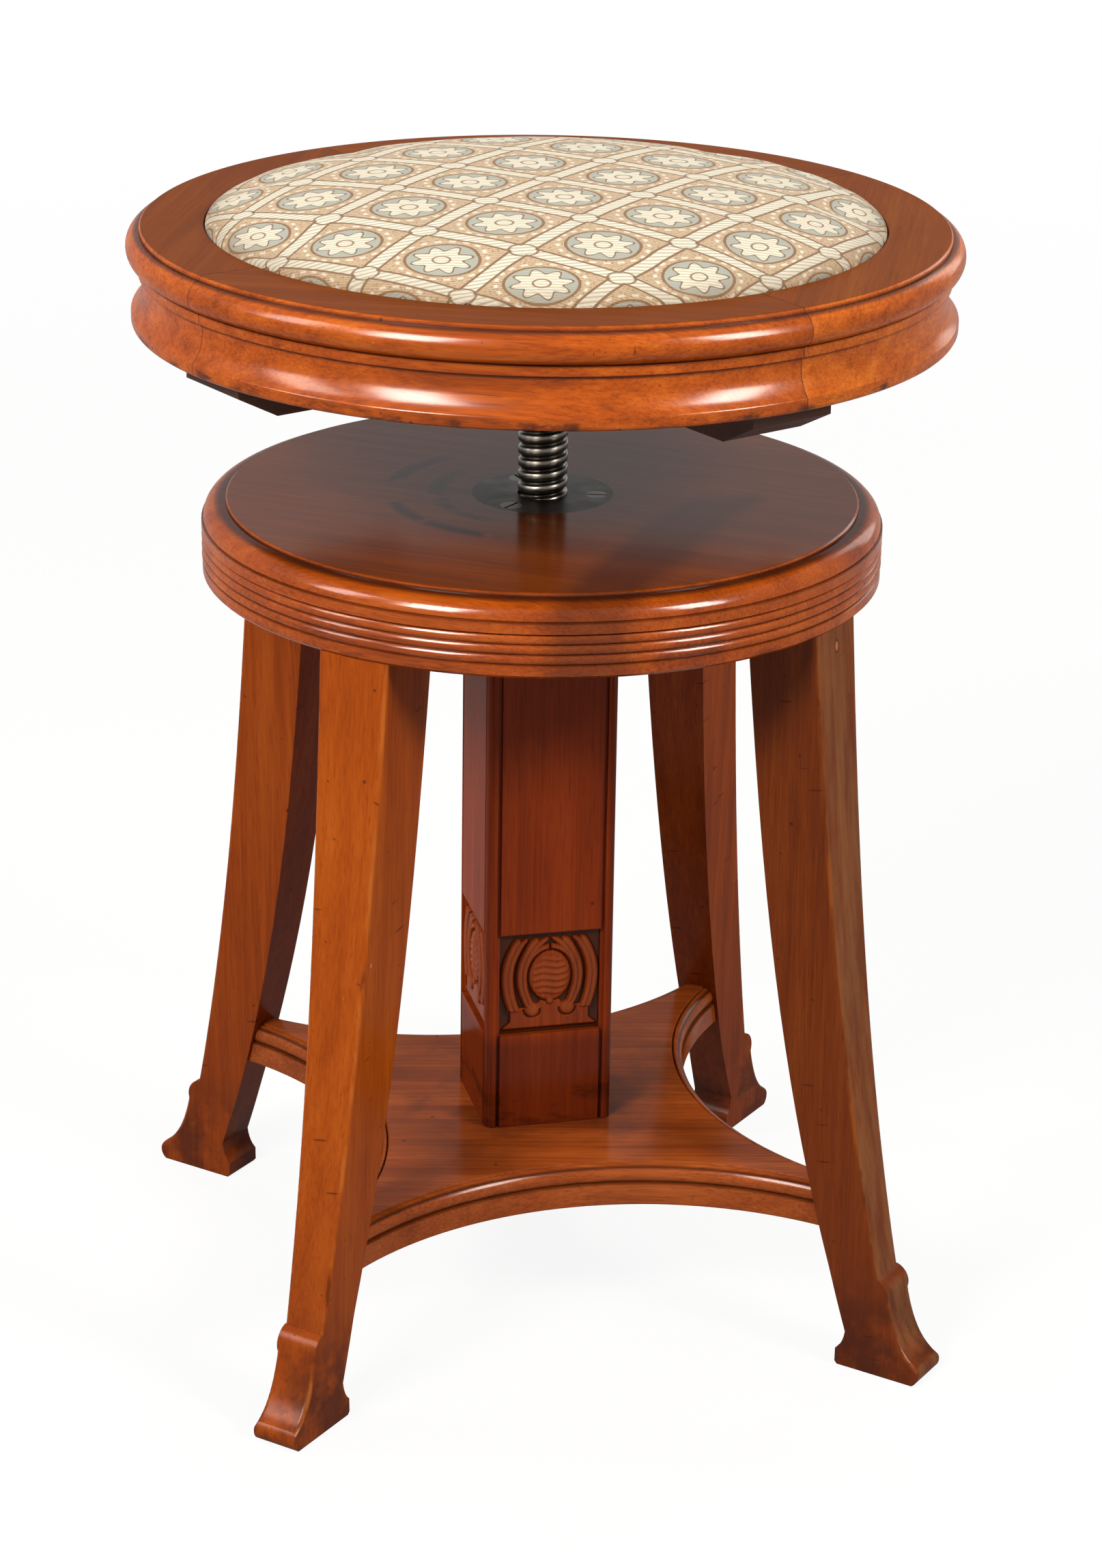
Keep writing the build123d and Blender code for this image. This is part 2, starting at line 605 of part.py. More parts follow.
def tapered(bottom_width, bottom, top_width, top):
    """Slab of a leg's front view, between two heights."""
    with BuildSketch(Plane.YZ) as front:
        with BuildLine():
            Polyline(
                (bottom_width / 2, bottom),
                (top_width / 2, top),
                (-top_width / 2, top),
                (-bottom_width / 2, bottom),
                close=True,
            )
        make_face()
    return extrude(front.sketch, 2 * TOE_REACH)


with BuildSketch(Plane.XZ) as shank_side:
    with BuildLine():
        Bezier(*outer_curve)
        Polyline((ANKLE_REACH, ANKLE_HEIGHT), shank_end, (heel_top, HEEL_HEIGHT))
        Bezier(*inner_curve)
        Line((top_inside, LEG_HEIGHT), (LEG_TOP_REACH, LEG_HEIGHT))
    make_face()
with BuildSketch(Plane.XZ) as leg_side:
    with BuildLine():
        Bezier(*outer_curve)
        ThreePointArc(
            (ANKLE_REACH, ANKLE_HEIGHT),
            (ANKLE_REACH + 0.72 * ANKLE_STEP, ANKLE_HEIGHT - 0.4 * ANKLE_STEP_HEIGHT),
            (ankle_out, ankle_low),
        )
        Bezier(
            (ankle_out, ankle_low),
            (ankle_out + 0.6 * ANKLE_STEP, ankle_low / 2),
            (TOE_REACH - 3.2 * TOE_ROUND, 1.4 * TOE_HEIGHT),
            toe_top,
        )
        ThreePointArc(toe_top, (TOE_REACH, TOE_HEIGHT / 2), toe_bottom)
        Polyline(
            toe_bottom,
            (HEEL_REACH + HEEL_EASE, 0),
            (HEEL_REACH, HEEL_EASE_HEIGHT),
            (HEEL_REACH, HEEL_FACE_TOP),
        )
        Bezier(
            (HEEL_REACH, HEEL_FACE_TOP),
            (HEEL_REACH + HEEL_BOW, HEEL_BOW_HEIGHT),
            (heel_top, HEEL_HEIGHT),
        )
        Bezier(*inner_curve)
        Line((top_inside, LEG_HEIGHT), (LEG_TOP_REACH, LEG_HEIGHT))
    make_face()
taper = (LEG_TOP_WIDTH - ANKLE_WIDTH) / shank
heel_width = ANKLE_WIDTH - taper * (ANKLE_HEIGHT - HEEL_HEIGHT)
plain_shank = both_ways(shank_side.sketch) & tapered(heel_width, HEEL_HEIGHT, LEG_TOP_WIDTH, LEG_HEIGHT)
rising_edges = plain_shank.edges().filter_by(lambda edge: edge.bounding_box().size.Z > LEG_HEIGHT / 2)
outer_edges = rising_edges.sort_by(lambda edge: edge.bounding_box().max.X)[-2:]
plain_shank = fillet(outer_edges, LEG_ARRIS) & block(4 * TOE_REACH, LEG_TOP_WIDTH, ANKLE_HEIGHT, LEG_HEIGHT)
foot = both_ways(leg_side.sketch) & tapered(FOOT_WIDTH, 0, ANKLE_WIDTH, ANKLE_HEIGHT)
flare_edges = foot.edges().filter_by(lambda edge: edge.bounding_box().min.X > ANKLE_REACH)
foot = fillet(flare_edges.sort_by(lambda edge: edge.bounding_box().size.Z)[-2:], LEG_ARRIS)
plain_leg = plain_shank + foot

# Everything beyond the legs' inner faces, where the platform's arms end
with BuildSketch(Plane.XZ) as beyond_side:
    with BuildLine():
        Bezier(*inner_curve)
        Polyline(
            (top_inside, LEG_HEIGHT),
            (2 * TOE_REACH, LEG_HEIGHT),
            (2 * TOE_REACH, HEEL_HEIGHT),
            (heel_top, HEEL_HEIGHT),
        )
    make_face()
beyond_leg = both_ways(beyond_side.sketch)

dowel_height = PLATFORM_BOTTOM + ARM_DOWEL_HEIGHT
level_slice = block(4 * TOE_REACH, LEG_TOP_WIDTH, dowel_height - SLICE_HALF, dowel_height + SLICE_HALF)
arm_end = (plain_leg & level_slice).bounding_box().min.X
arm_dowel = Pos(arm_end, 0, dowel_height) * Rot(0, 90, 0) * Cylinder(ARM_DOWEL_RADIUS, ARM_DOWEL_LENGTH)
arm_dowels = ring_of([arm_dowel], LEG_ANGLES.values())
leg = plain_leg - leg_dowel - arm_dowel
for name, angle in LEG_ANGLES.items():
    save(turn(leg, angle), name)
save(Compound(children=arm_dowels), "platform_dowels")

# Platform: a board with four hollow sides, each worked with a quirked bead along its top edge
bead_bottom = PLATFORM_TOP - BEAD_HEIGHT
bead_inside = HOLLOW_RADIUS + BEAD_WIDTH
with BuildSketch(Plane.XZ) as hollow_section:
    with BuildLine():
        Polyline(
            (0, PLATFORM_BOTTOM),
            (HOLLOW_RADIUS, PLATFORM_BOTTOM),
            (HOLLOW_RADIUS, bead_bottom - BEAD_FOOT_FALL),
            (HOLLOW_RADIUS + BEAD_SETBACK, bead_bottom),
        )
        ThreePointArc(
            (HOLLOW_RADIUS + BEAD_SETBACK, bead_bottom),
            (HOLLOW_RADIUS + BEAD_BELLY, bead_bottom + 0.65 * BEAD_HEIGHT),
            (bead_inside - BEAD_QUIRK, PLATFORM_TOP - BEAD_TOP_FALL),
        )
        Polyline(
            (bead_inside - BEAD_QUIRK, PLATFORM_TOP - BEAD_TOP_FALL),
            (bead_inside, PLATFORM_TOP - BEAD_QUIRK_DEPTH),
            (bead_inside + BEAD_QUIRK, PLATFORM_TOP),
            (0, PLATFORM_TOP),
            (0, PLATFORM_BOTTOM),
        )
    make_face()
hollow = Pos(HOLLOW_CENTRE, 0, 0) * revolve(hollow_section.sketch, axis=Axis.Z)
platform = peg(ANKLE_REACH, PLATFORM_BOTTOM, PLATFORM_TOP)
platform = bored(platform, ring_of([hollow], QUARTERS))
platform = bored(platform, ring_of([beyond_leg], LEG_ANGLES.values()))
save(bored(platform, arm_dowels + column_screw_holes), "platform")
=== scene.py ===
"""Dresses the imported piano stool: woven pad, threaded screw, carved friezes, polished woods and light."""

import json
import math

import bmesh
import bpy
from mathutils import Matrix, Vector


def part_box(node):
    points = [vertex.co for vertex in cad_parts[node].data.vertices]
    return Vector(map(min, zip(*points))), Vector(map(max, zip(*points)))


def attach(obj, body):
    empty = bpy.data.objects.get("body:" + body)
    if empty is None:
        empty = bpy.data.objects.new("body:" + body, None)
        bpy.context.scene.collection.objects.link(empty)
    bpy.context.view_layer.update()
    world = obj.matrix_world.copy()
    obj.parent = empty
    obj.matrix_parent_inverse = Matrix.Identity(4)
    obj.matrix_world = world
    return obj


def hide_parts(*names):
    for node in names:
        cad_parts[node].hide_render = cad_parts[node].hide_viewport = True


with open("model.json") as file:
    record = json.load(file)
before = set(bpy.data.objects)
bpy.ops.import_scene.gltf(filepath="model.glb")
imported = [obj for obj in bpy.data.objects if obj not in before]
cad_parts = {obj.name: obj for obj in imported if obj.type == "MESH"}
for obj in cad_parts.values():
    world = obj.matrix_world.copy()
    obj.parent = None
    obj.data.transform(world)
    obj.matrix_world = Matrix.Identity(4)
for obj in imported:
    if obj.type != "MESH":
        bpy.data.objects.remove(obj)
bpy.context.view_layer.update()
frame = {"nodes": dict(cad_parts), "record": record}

MM = 0.001
DIAGONAL = math.sqrt(0.5)
COLUMN_SIDES = ("front", "right", "back", "left")  # each a quarter turn further on

# Camera, as fitted to the photograph: degrees, metres and pixels
CAMERA_AZIMUTH = -13.52
CAMERA_ELEVATION = 21.22
CAMERA_ROLL = 0.89
CAMERA_DISTANCE = 1.8288
CAMERA_FOCAL_PIXELS = 5994.5
PHOTO_LONG_SIDE = 2296  # pixels
SENSOR_WIDTH = 36.0  # millimetres
AIM_HEIGHT = 0.2375
AIM_TO_RIGHT = 0.0057

# Lead screw: its thread, with a profile in shares of the pitch and of the depth, and its plain ends
THREAD_PITCH = 2 * math.pi * frame["record"]["behaviour"]["couplings"][0]["ratio"]
THREAD_ROOT = 9.4 * MM
THREAD_PROFILE = ((0.0, 0.0), (0.05, 0.78), (0.1, 1.0), (0.6, 1.0), (0.65, 0.78), (0.7, 0.0))
THREAD_STEPS = 48  # per turn
TOP_JOURNAL = 8.0 * MM
TIP_CHAMFER = 1.0 * MM
GUIDE_JOURNAL = 7.0 * MM
GUIDE_PLAY = 0.3 * MM

# Pad
PAD_SEGMENTS = 96
COVER_RINGS = 26
FILLING_RINGS = 18
SHOULDER_RINGS = 9
COVER_THICKNESS = 1.2 * MM
CROWN_SHOULDER = 26.6 * MM  # width of the rounded edge of the crown
CROWN_FALL = 7.0 * MM  # from the crown down to its rounded edge
COVER_SHOULDER = 0.9 * MM  # upper end of the upright side, down from the rim's top
FILLING_SHOULDER = 2.6 * MM
COVER_SIDE = 9.0 * MM  # height of the ring on the upright side
FOLD_CHAMFER = 1.2 * MM
FOLD_STEP = 14.0 * MM  # ring on the fold, inwards from the side
COVER_FOLD = 114.0 * MM  # radius of the folded edge
FILLING_GAP = 0.6 * MM
TACKS = 24
TACK_PULL = 0.28 * MM
SEAT_SAG = 0.5 * MM
HELD_BELOW = 2.0 * MM  # the cover keeps its shape from this far under the rim's top
SIM_SETBACK = 1.4 * MM  # the cover starts this much lower and swells back
SIM_CAP = 2.6 * MM  # furthest that a point may swell
SIM_FRAMES = 20

# Webbing
STRAP_SPACING = 72.0 * MM
STRAP_WIDTH = 50.0 * MM
STRAP_REACH = 140.5 * MM
STRAP_HOLD = 1.0 * MM  # a strap stays level this far past the edge of one that it crosses
STRAP_FILL = 0.9  # share of its layer's thickness
STRAP_STEPS = 120

# Carved frieze, in millimetres on the face of the column, with heights from the panel's foot
COLUMN_FACE = -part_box("column_front")[0].y / MM  # from the axis
FRIEZE_WIDTH = 46.0
FRIEZE_HEIGHT = 49.0
FRIEZE_RISE = 45.1  # over the platform
FRIEZE_DEPTH = 3.0
FRIEZE_STEP = 0.4
FRIEZE_LIFT = 0.05  # ground of the carving, out from the sunk field
FRIEZE_BACK = 0.6  # thickness behind that ground
BOSS_HEIGHT = 27.6
BOSS_HALF_WIDTH = 9.6
BOSS_HALF_HEIGHT = 12.0
BOSS_RIB_PITCH = 3.2
PLINTH_TOP = 15.6
PLINTH_SHOULDER = 3.0  # fall of the top towards the sides
PLINTH_HALF_WIDTH = 18.6
PLINTH_FLARE = 3.6
SCROLL_REACH = 8.1
SCROLL_RADIUS = 3.4
TONGUE_HALF_WIDTH = 1.6
TONGUE_HALF_HEIGHT = 1.8
LEAF_TOP = 45.0
LEAF_FOOT = 11.6  # and the height of the scrolls
LEAF_TIP = 1.2
LEAF_TIP_ROUND = 1.4
LEAF_GROOVE = 0.35

# Leaves beside the boss: reach of the middle line at the boss, foot and top; half width, and that at the top
OUTER_LEAF = dict(middle=19.5, lower=16.4, upper=13.6, half_width=3.1, fan=3.7)
INNER_LEAF = dict(middle=12.9, lower=8.1, upper=5.0, half_width=2.7, fan=4.6)

# Finish of each wood: least and most roughness, weight and roughness of the polish, depth of the pores and
# radius of eased edges (both in millimetres), and how crowded the figure is
RIM_FINISH = (0.28, 0.44, 0.34, 0.2, 0.09, 0.6, 2.6)
DISC_FINISH = (0.24, 0.36, 0.36, 0.16, 0.04, 0.0, 1.2)
LEG_FINISH = (0.36, 0.52, 0.14, 0.24, 0.15, 0.8, 2.4)
COLUMN_FINISH = (0.36, 0.48, 0.14, 0.18, 0.12, 0.9, 1.8)
CARVED_FINISH = (0.36, 0.48, 0.2, 0.18, 0.08, 0.0, 1.8)
PLATFORM_FINISH = (0.36, 0.5, 0.2, 0.18, 0.12, 0.8, 1.4)
BEARER_FINISH = (0.55, 0.75, 0.0, 0.3, 0.16, 0.8, 1.0)
PLAIN_FINISH = (0.6, 0.75, 0.0, 0.3, 0.14, 0.0, 1.0)

# Grain of the woods, in waves per millimetre along and across it, and directions in degrees
FIGURE_WAVES = (0.004, 0.045)
FIBRE_WAVES = (0.012, 0.9)
PORE_WAVES = (0.06, 1.7)
UPRIGHT_GRAIN = (0, 90, 0)
RIM_SEAM = 23.0  # first glued seam of the rim
DIRT_AND_SHADE = (40, 17, 9)  # dark polish, which in the grooves is also painted shade; this and the other colours of materials are sRGB, 0 to 255

# Reeds of the disc, in millimetres
REED_TOP = 14.7  # first groove, down from the disc's top
REED_PITCH = 4.3
REED_GROOVES = 4

# Peg in the front right leg, in millimetres; its reach is the sum of its distances along X and Y
PEG_HEIGHT = 331.6
PEG_REACH = 198.0

# Trellis cloth, in millimetres
CLOTH_CELL = 47.0
YARN = 0.4  # width over which one colour gives way to the next
ROPE_HALF_WIDTH = 3.1
ROPE_LAY = 4.4
KNOT_RADIUS = 5.2
SATIN_RADIUS = 14.8
PETALS = 8
PETAL_REACH = 10.6
PETAL_SWING = 2.1
EYE_RADIUS = 3.1
BEADS = 20
BEAD_RING = 18.6

# Studio, in metres
WORLD_TINT = (1.0, 0.97, 0.93, 1.0)
WORLD_STRENGTH = 0.21
FLOOR_REACH = 6.0
FLOOR_TONE = 0.9
FLOOR_BOUNCE = 0.28  # tone of the floor for the light that it throws back up
FLOOR_GLOW = 0.9  # share of plain white in the floor's look round the stool
FLOOR_NEAR = 0.5  # reach of that share
FLOOR_FAR = 2.6  # from here on the floor is plain white, as the world is
LAMP_COLOUR = (1.0, 0.96, 0.9)
LAMP_AIM = (0, 0, 0.35)


def tone(colour):
    """Linear colour of an sRGB one."""
    def linear(channel):
        share = channel / 255
        return share / 12.92 if share <= 0.04045 else ((share + 0.055) / 1.055) ** 2.4
    return (*map(linear, colour), 1.0)


def smoothstep(low, high, value):
    """0 below low, 1 above high, and a smooth step between them."""
    share = min(max((value - low) / (high - low), 0.0), 1.0)
    return share * share * (3 - 2 * share)


class Value:
    """A number that varies over a surface, with ordinary arithmetic."""

    def __init__(self, shade, socket):
        self.shade = shade
        self.socket = socket

    def math(self, operation, *others):
        return self.shade.math(operation, self, *others)

    def __add__(self, other):
        return self.math("ADD", other)

    def __sub__(self, other):
        return self.math("SUBTRACT", other)

    def __rsub__(self, other):
        return self.shade.math("SUBTRACT", other, self)

    def __mul__(self, other):
        return self.math("MULTIPLY", other)

    def size(self):
        return self.math("ABSOLUTE")

    def in_cell(self, width):
        """Signed distance to the middle of the repeating cell."""
        return ((self * (1 / width)).math("FRACT") - 0.5) * width

    def wave(self, period):
        """0 to 1 and back over each period."""
        return (self * (2 * math.pi / period)).math("SINE") * 0.5 + 0.5

    def hypot(self, other):
        return (self * self + other * other).math("SQRT")

    def lowest(self, other):
        return self.math("MINIMUM", other)

    def highest(self, other):
        return self.math("MAXIMUM", other)

    def over(self, low, high):
        """0 below low, 1 above high, and a smooth step between them."""
        node = self.shade.node("MapRange", Value=self, From_Min=low, From_Max=high)
        node.interpolation_type = "SMOOTHSTEP"
        return Value(self.shade, node.outputs["Result"])

    def under(self, low, high):
        """1 below low, 0 above high, and a smooth step between them."""
        return 1.0 - self.over(low, high)

    def near(self, middle, reach):
        """1 at the middle, fading to 0 at a reach to each side."""
        return (self - middle).size().under(0.0, reach)


class Shade:
    """A material's node tree, with the place on the object in millimetres and the colour mixed so far."""

    def __init__(self, name):
        self.material = bpy.data.materials.new(name)
        self.material.use_nodes = True
        self.tree = self.material.node_tree
        self.tree.nodes.clear()
        self.surface = self.node("BsdfPrincipled")
        self.output = self.node("OutputMaterial", Surface=self.surface.outputs["BSDF"])
        place = self.node("TexCoord").outputs["Object"]
        self.place = self.stretched(place, (1 / MM, 1 / MM, 1 / MM))
        self.x, self.y, self.z = self.split(self.place)
        self.radius = self.x.hypot(self.y)
        self.colour = None

    def plug(self, socket, value):
        if isinstance(value, Value):
            value = value.socket
        if isinstance(value, bpy.types.NodeSocket):
            self.tree.links.new(value, socket)
        else:
            socket.default_value = value

    def fill(self, node, inputs):
        """Plug a node's named inputs, with spaces written as underscores."""
        for name, value in inputs.items():
            self.plug(node.inputs[name.replace("_", " ")], value)

    def node(self, kind, **inputs):
        node = self.tree.nodes.new("ShaderNode" + kind)
        self.fill(node, inputs)
        return node

    def set(self, **inputs):
        """Plug inputs of the surface shader."""
        self.fill(self.surface, inputs)

    def math(self, operation, *values):
        node = self.node("Math")
        node.operation = operation
        for socket, value in zip(node.inputs, values):
            self.plug(socket, value)
        return Value(self, node.outputs["Value"])

    def split(self, vector):
        node = self.node("SeparateXYZ", Vector=vector)
        return [Value(self, node.outputs[axis]) for axis in "XYZ"]

    def stretched(self, place, scale, shift=(0.0, 0.0, 0.0)):
        return self.node("Mapping", Vector=place, Scale=scale, Location=shift).outputs["Vector"]

    def turned(self, place, degrees):
        node = self.node("VectorRotate", Vector=place)
        node.rotation_type = "EULER_XYZ"
        node.inputs["Rotation"].default_value = [math.radians(angle) for angle in degrees]
        return node.outputs["Vector"]

    def facing(self):
        """How far the surface faces along X and Y, each from -1 to 1."""
        return self.split(self.node("TexCoord").outputs["Normal"])[:2]

    def noise(self, place, detail=2.0, roughness=0.5, distortion=0.0):
        settings = dict(Scale=1.0, Detail=detail, Roughness=roughness, Distortion=distortion)
        return Value(self, self.node("TexNoise", Vector=place, **settings).outputs["Fac"])

    def spread(self, scale, detail=2.0, roughness=0.5):
        """Noise with a scale along each axis."""
        return self.noise(self.stretched(self.place, scale), detail, roughness)

    def marks(self, place, radius, share):
        """Scattered spots, one at most in each unit cell, in a share of the cells."""
        node = self.node("TexVoronoi", Vector=place, Scale=1.0)
        pick = self.node("SeparateColor", Color=node.outputs["Color"])
        chosen = Value(self, pick.outputs["Red"]).math("LESS_THAN", share)
        return Value(self, node.outputs["Distance"]).under(0.5 * radius, radius) * chosen

    def spots(self, cell, radius, share, turn=(0, 0, 0)):
        """Marks in turned cells of a size in millimetres along each axis."""
        place = self.turned(self.place, turn) if any(turn) else self.place
        return self.marks(self.stretched(place, [1 / size for size in cell]), radius, share)

    def ramp(self, value, stops):
        """Colour by a value, from stops of a value and a colour."""
        node = self.node("ValToRGB", Fac=value)
        while len(node.color_ramp.elements) < len(stops):
            node.color_ramp.elements.new(1.0)
        for element, (position, colour) in zip(node.color_ramp.elements, stops):
            element.position = position
            element.color = tone(colour)
        self.colour = node.outputs["Color"]

    def tint(self, share, colour):
        """Mix in a share of a colour, by socket numbers, because the node's names repeat."""
        node = self.node("Mix")
        node.data_type = "RGBA"
        self.plug(node.inputs[0], share)
        self.plug(node.inputs[6], self.colour)
        self.plug(node.inputs[7], tone(colour))
        self.colour = node.outputs[2]

    def bump(self, height, depth, eased=0.0):
        """Bump by a height from 0 to 1 for a depth, over edges eased by a radius, both in millimetres."""
        node = self.node("Bump", Height=height, Distance=depth * MM)
        if eased:
            bevel = self.node("Bevel", Radius=eased * MM)
            bevel.samples = 4
            self.plug(node.inputs["Normal"], bevel.outputs["Normal"])
        self.set(Normal=node.outputs["Normal"])


def wood(name, tones, grain, finish, shift, layers=(), dull=None):
    """Hardwood with its grain along the turned X axis: shifted figure, fibres and pores, then worn layers.

    The dull function gives the share of the polish that is lost at a place.
    """
    shade = Shade(name)
    dark, middle, light = tones
    smooth, rough, coat, coat_roughness, pore_depth, eased, crowding = finish
    along = shade.stretched(shade.turned(shade.place, grain), (1, 1, 1), (shift, 0.7 * shift, 1.3 * shift))

    def grained(waves, times=1.0):
        lengthwise, crosswise = waves
        return shade.stretched(along, (lengthwise, crosswise * times, crosswise * times))

    figure = shade.noise(grained(FIGURE_WAVES, crowding), 5.0, 0.6, 0.35)
    fibre = shade.noise(grained(FIBRE_WAVES), 3.0, 0.6)
    pores = shade.noise(grained(PORE_WAVES), 1.0).over(0.58, 0.72)
    cloud = shade.spread((0.014, 0.014, 0.014))
    value = figure * 0.5 + fibre * 0.32 + cloud * 0.18
    shade.ramp(value, ((0.32, dark), (0.5, middle), (0.68, light)))
    shade.tint(pores * 0.5, dark)
    scratch_place = shade.stretched(shade.turned(along, (0, 0, 24)), (1 / 48, 1 / 6, 1 / 6))
    scratches = shade.marks(scratch_place, 0.05, 0.4)
    dents = shade.spots((17, 17, 17), 0.065, 0.35)
    shade.tint(scratches * 0.3, light)
    shade.tint(dents * 0.6, DIRT_AND_SHADE)
    for layer in layers:
        layer(shade)
    haze = shade.spread((0.045, 0.045, 0.045), 3.0, 0.6)
    shade.set(
        Base_Color=shade.colour,
        Roughness=haze * (rough - smooth) + smooth + scratches * 0.15,
        Specular_IOR_Level=0.0 if coat else 0.3,
        Coat_Weight=(1.0 - dull(shade)) * coat if dull else coat,
        Coat_Roughness=coat_roughness,
    )
    shade.bump(fibre * 0.22 - pores * 0.4 - dents * 1.6 - scratches * 0.5, pore_depth, eased)
    return shade.material


def metal(name, bright, dull, roughness, worn, metallic=1.0, layers=()):
    """Bare or blackened metal with turning marks, stains and rubbed patches."""
    shade = Shade(name)
    stain = shade.spread((0.09, 0.09, 0.09), 4.0, 0.6)
    turning = shade.spread((0.25, 0.25, 3.0))
    pits = shade.marks(shade.stretched(shade.place, (0.35, 0.35, 0.35)), 0.2, 0.3)
    shade.ramp(stain + turning * 0.25 - 0.12, ((0.5 - worn, dull), (0.5 + worn, bright)))
    shade.tint(pits * 0.5, dull)
    for layer in layers:
        layer(shade)
    shade.set(Base_Color=shade.colour, Metallic=metallic, Roughness=stain * 0.25 + roughness)
    shade.bump(turning * 0.6 - pits, 0.06)
    return shade.material


def thread_oil(shade):
    """Dark oil caught at the root of the thread."""
    deep = shade.radius.under(THREAD_ROOT / MM + 0.25, THREAD_ROOT / MM + 1.0)
    shade.tint(deep * 0.88, (24, 20, 17))


def worn_band(bottom, top, dirt, strength):
    """Layer of dark handling and specks between two heights."""
    def layer(shade):
        zone = shade.z.under(top - 3.0, top) * shade.z.over(bottom - 1.0, bottom)
        patch = shade.spread((0.05, 0.05, 0.12), 4.0, 0.65).over(0.48, 0.66)
        specks = shade.spots((6, 6, 6), 0.2, 0.35)
        shade.tint(zone * patch.highest(specks) * strength, dirt)
    return layer


def crevice(height, reach, strength):
    """Layer of dark polish caught in a groove at one height, and painted shade along it."""
    def layer(shade):
        shade.tint(shade.z.near(height, reach) * strength, DIRT_AND_SHADE)
    return layer


def flat_top(shade, height):
    """1 on a flat top at a height, and 0 from its edge down."""
    return shade.z.over(height - 0.5, height - 0.1)


def browned_and_shaded_top(height, strength, brown):
    """Layer of a darker tone on a flat top: old polish on the rim, and painted shade of the seat on the
    disc.
    """
    def layer(shade):
        shade.tint(flat_top(shade, height) * strength, brown)
    return layer


def rim_knocks(height):
    """Layer of pale chips and short dark nicks round the moulding, below the flat top."""
    def layer(shade):
        below = shade.z.under(height - 1.0, height - 0.5)
        chips = shade.spots((13, 13, 10), 0.075, 0.25)
        shade.tint(chips * below * 0.75, (226, 170, 118))
        nicks = shade.spots((3.2, 3.2, 14), 0.16, 0.06)
        shade.tint(nicks * below * 0.6, (58, 24, 11))
    return layer


def seams(shade):
    """Thin dark glue lines where the quarters of the rim meet."""
    angle = math.radians(RIM_SEAM)
    one = shade.x * math.cos(angle) + shade.y * math.sin(angle)
    other = shade.y * math.cos(angle) - shade.x * math.sin(angle)
    shade.tint(one.size().lowest(other.size()).under(0.1, 0.4) * 0.65, DIRT_AND_SHADE)


def heights(node):
    """Bottom and top of a node, in millimetres."""
    low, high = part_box(node)
    return low.z / MM, high.z / MM


def rim_materials():
    """One wood for each quarter of the rim, so that the grain breaks at the seams."""
    low, high = heights("rim_1")
    tones = (
        ((118, 47, 8), (178, 84, 15), (212, 116, 30)),
        ((112, 44, 8), (168, 75, 13), (202, 104, 26)),
        ((112, 44, 8), (168, 75, 13), (202, 104, 26)),
        ((120, 48, 8), (182, 86, 15), (214, 118, 32)),
    )
    layers = (
        browned_and_shaded_top(high, 0.8, (94, 52, 27)),
        rim_knocks(high),
        worn_band(low, low + 5.4, (60, 25, 12), 0.85),
        crevice(high - 2.2, 1.3, 0.8),
        crevice(high - 15.4, 1.6, 0.65),
        crevice(high - 20.7, 1.4, 0.45),
        seams,
    )

    def dull(shade):
        return flat_top(shade, high) * 0.75

    for number in range(4):
        name = f"rim_wood_{number + 1}"
        grain = (0, 0, -(RIM_SEAM + 90 * number + 135))
        yield f"rim_{number + 1}", wood(name, tones[number], grain, RIM_FINISH, 120.0 * number, layers, dull)


def disc_marks(shade):
    """Dark streak along the grain on the front, and smears where the plate was oiled."""
    across = shade.x * 0.82 - shade.y * 0.57
    wobble = shade.spread((0.02, 0.02, 0.02)) * 14.0
    streak = (across + wobble - 80.0).size().under(8.0, 22.0)
    front = shade.y.under(-30.0, -10.0)
    shade.tint(streak * front * 0.6, (58, 23, 11))
    smear = shade.radius.near(46.0, 6.0).highest(shade.radius.near(66.0, 6.0))
    broken = shade.spread((0.03, 0.03, 0.03), 3.0).over(0.42, 0.52)
    left = shade.x.under(-40.0, -22.0)
    shade.tint(smear * broken * left * 0.9, (34, 13, 8))


def base_disc_wood():
    """Redder polished wood with painted shade of the seat on its top, dark in its quirk and between its
    reeds.
    """
    low, high = heights("base_disc")
    tones = ((104, 40, 9), (158, 69, 14), (188, 94, 26))
    layers = (
        # painted shade of the seat over the disc's flat top
        browned_and_shaded_top(high, 0.65, (74, 38, 14)),
        disc_marks,
        crevice(high - 1.6, 1.2, 0.85),
        crevice(high - 9.6, 0.9, 0.6),
        *(crevice(high - REED_TOP - REED_PITCH * n, 0.8, 0.6) for n in range(REED_GROOVES)),
        worn_band(low, low + 4.0, (66, 28, 13), 0.5),
    )
    return wood("base_disc_wood", tones, (0, 0, 35), DISC_FINISH, 40.0, layers)


def ankle_grime_and_shade(shade):
    """Redder, darker wood towards the foot of the leg as painted shade, and dark knocks round the ankles and
    feet.
    """
    low = shade.z.under(15.0, 62.0)
    patch = shade.spread((0.05, 0.05, 0.05), 4.0, 0.65).over(0.36, 0.6)
    # painted shade: darker towards the floor
    shade.tint(shade.z.under(20.0, 170.0) * 0.3, (112, 48, 22))
    shade.tint(low * patch * 0.7, (60, 28, 18))


def faded_sheen_face(shade):
    """Streaks of paler, greyer wood on the outer face of the front right leg: painted sheen of a grazing
    reflection, in faded streaks.
    """
    x, y = shade.facing()
    outer = ((x - y) * DIAGONAL).over(0.6, 0.95)
    streaks = shade.spread((0.16, 0.16, 0.012), 3.0, 0.6).over(0.3, 0.7)
    shade.tint(outer * (streaks * 0.45 + 0.08), (148, 98, 58))


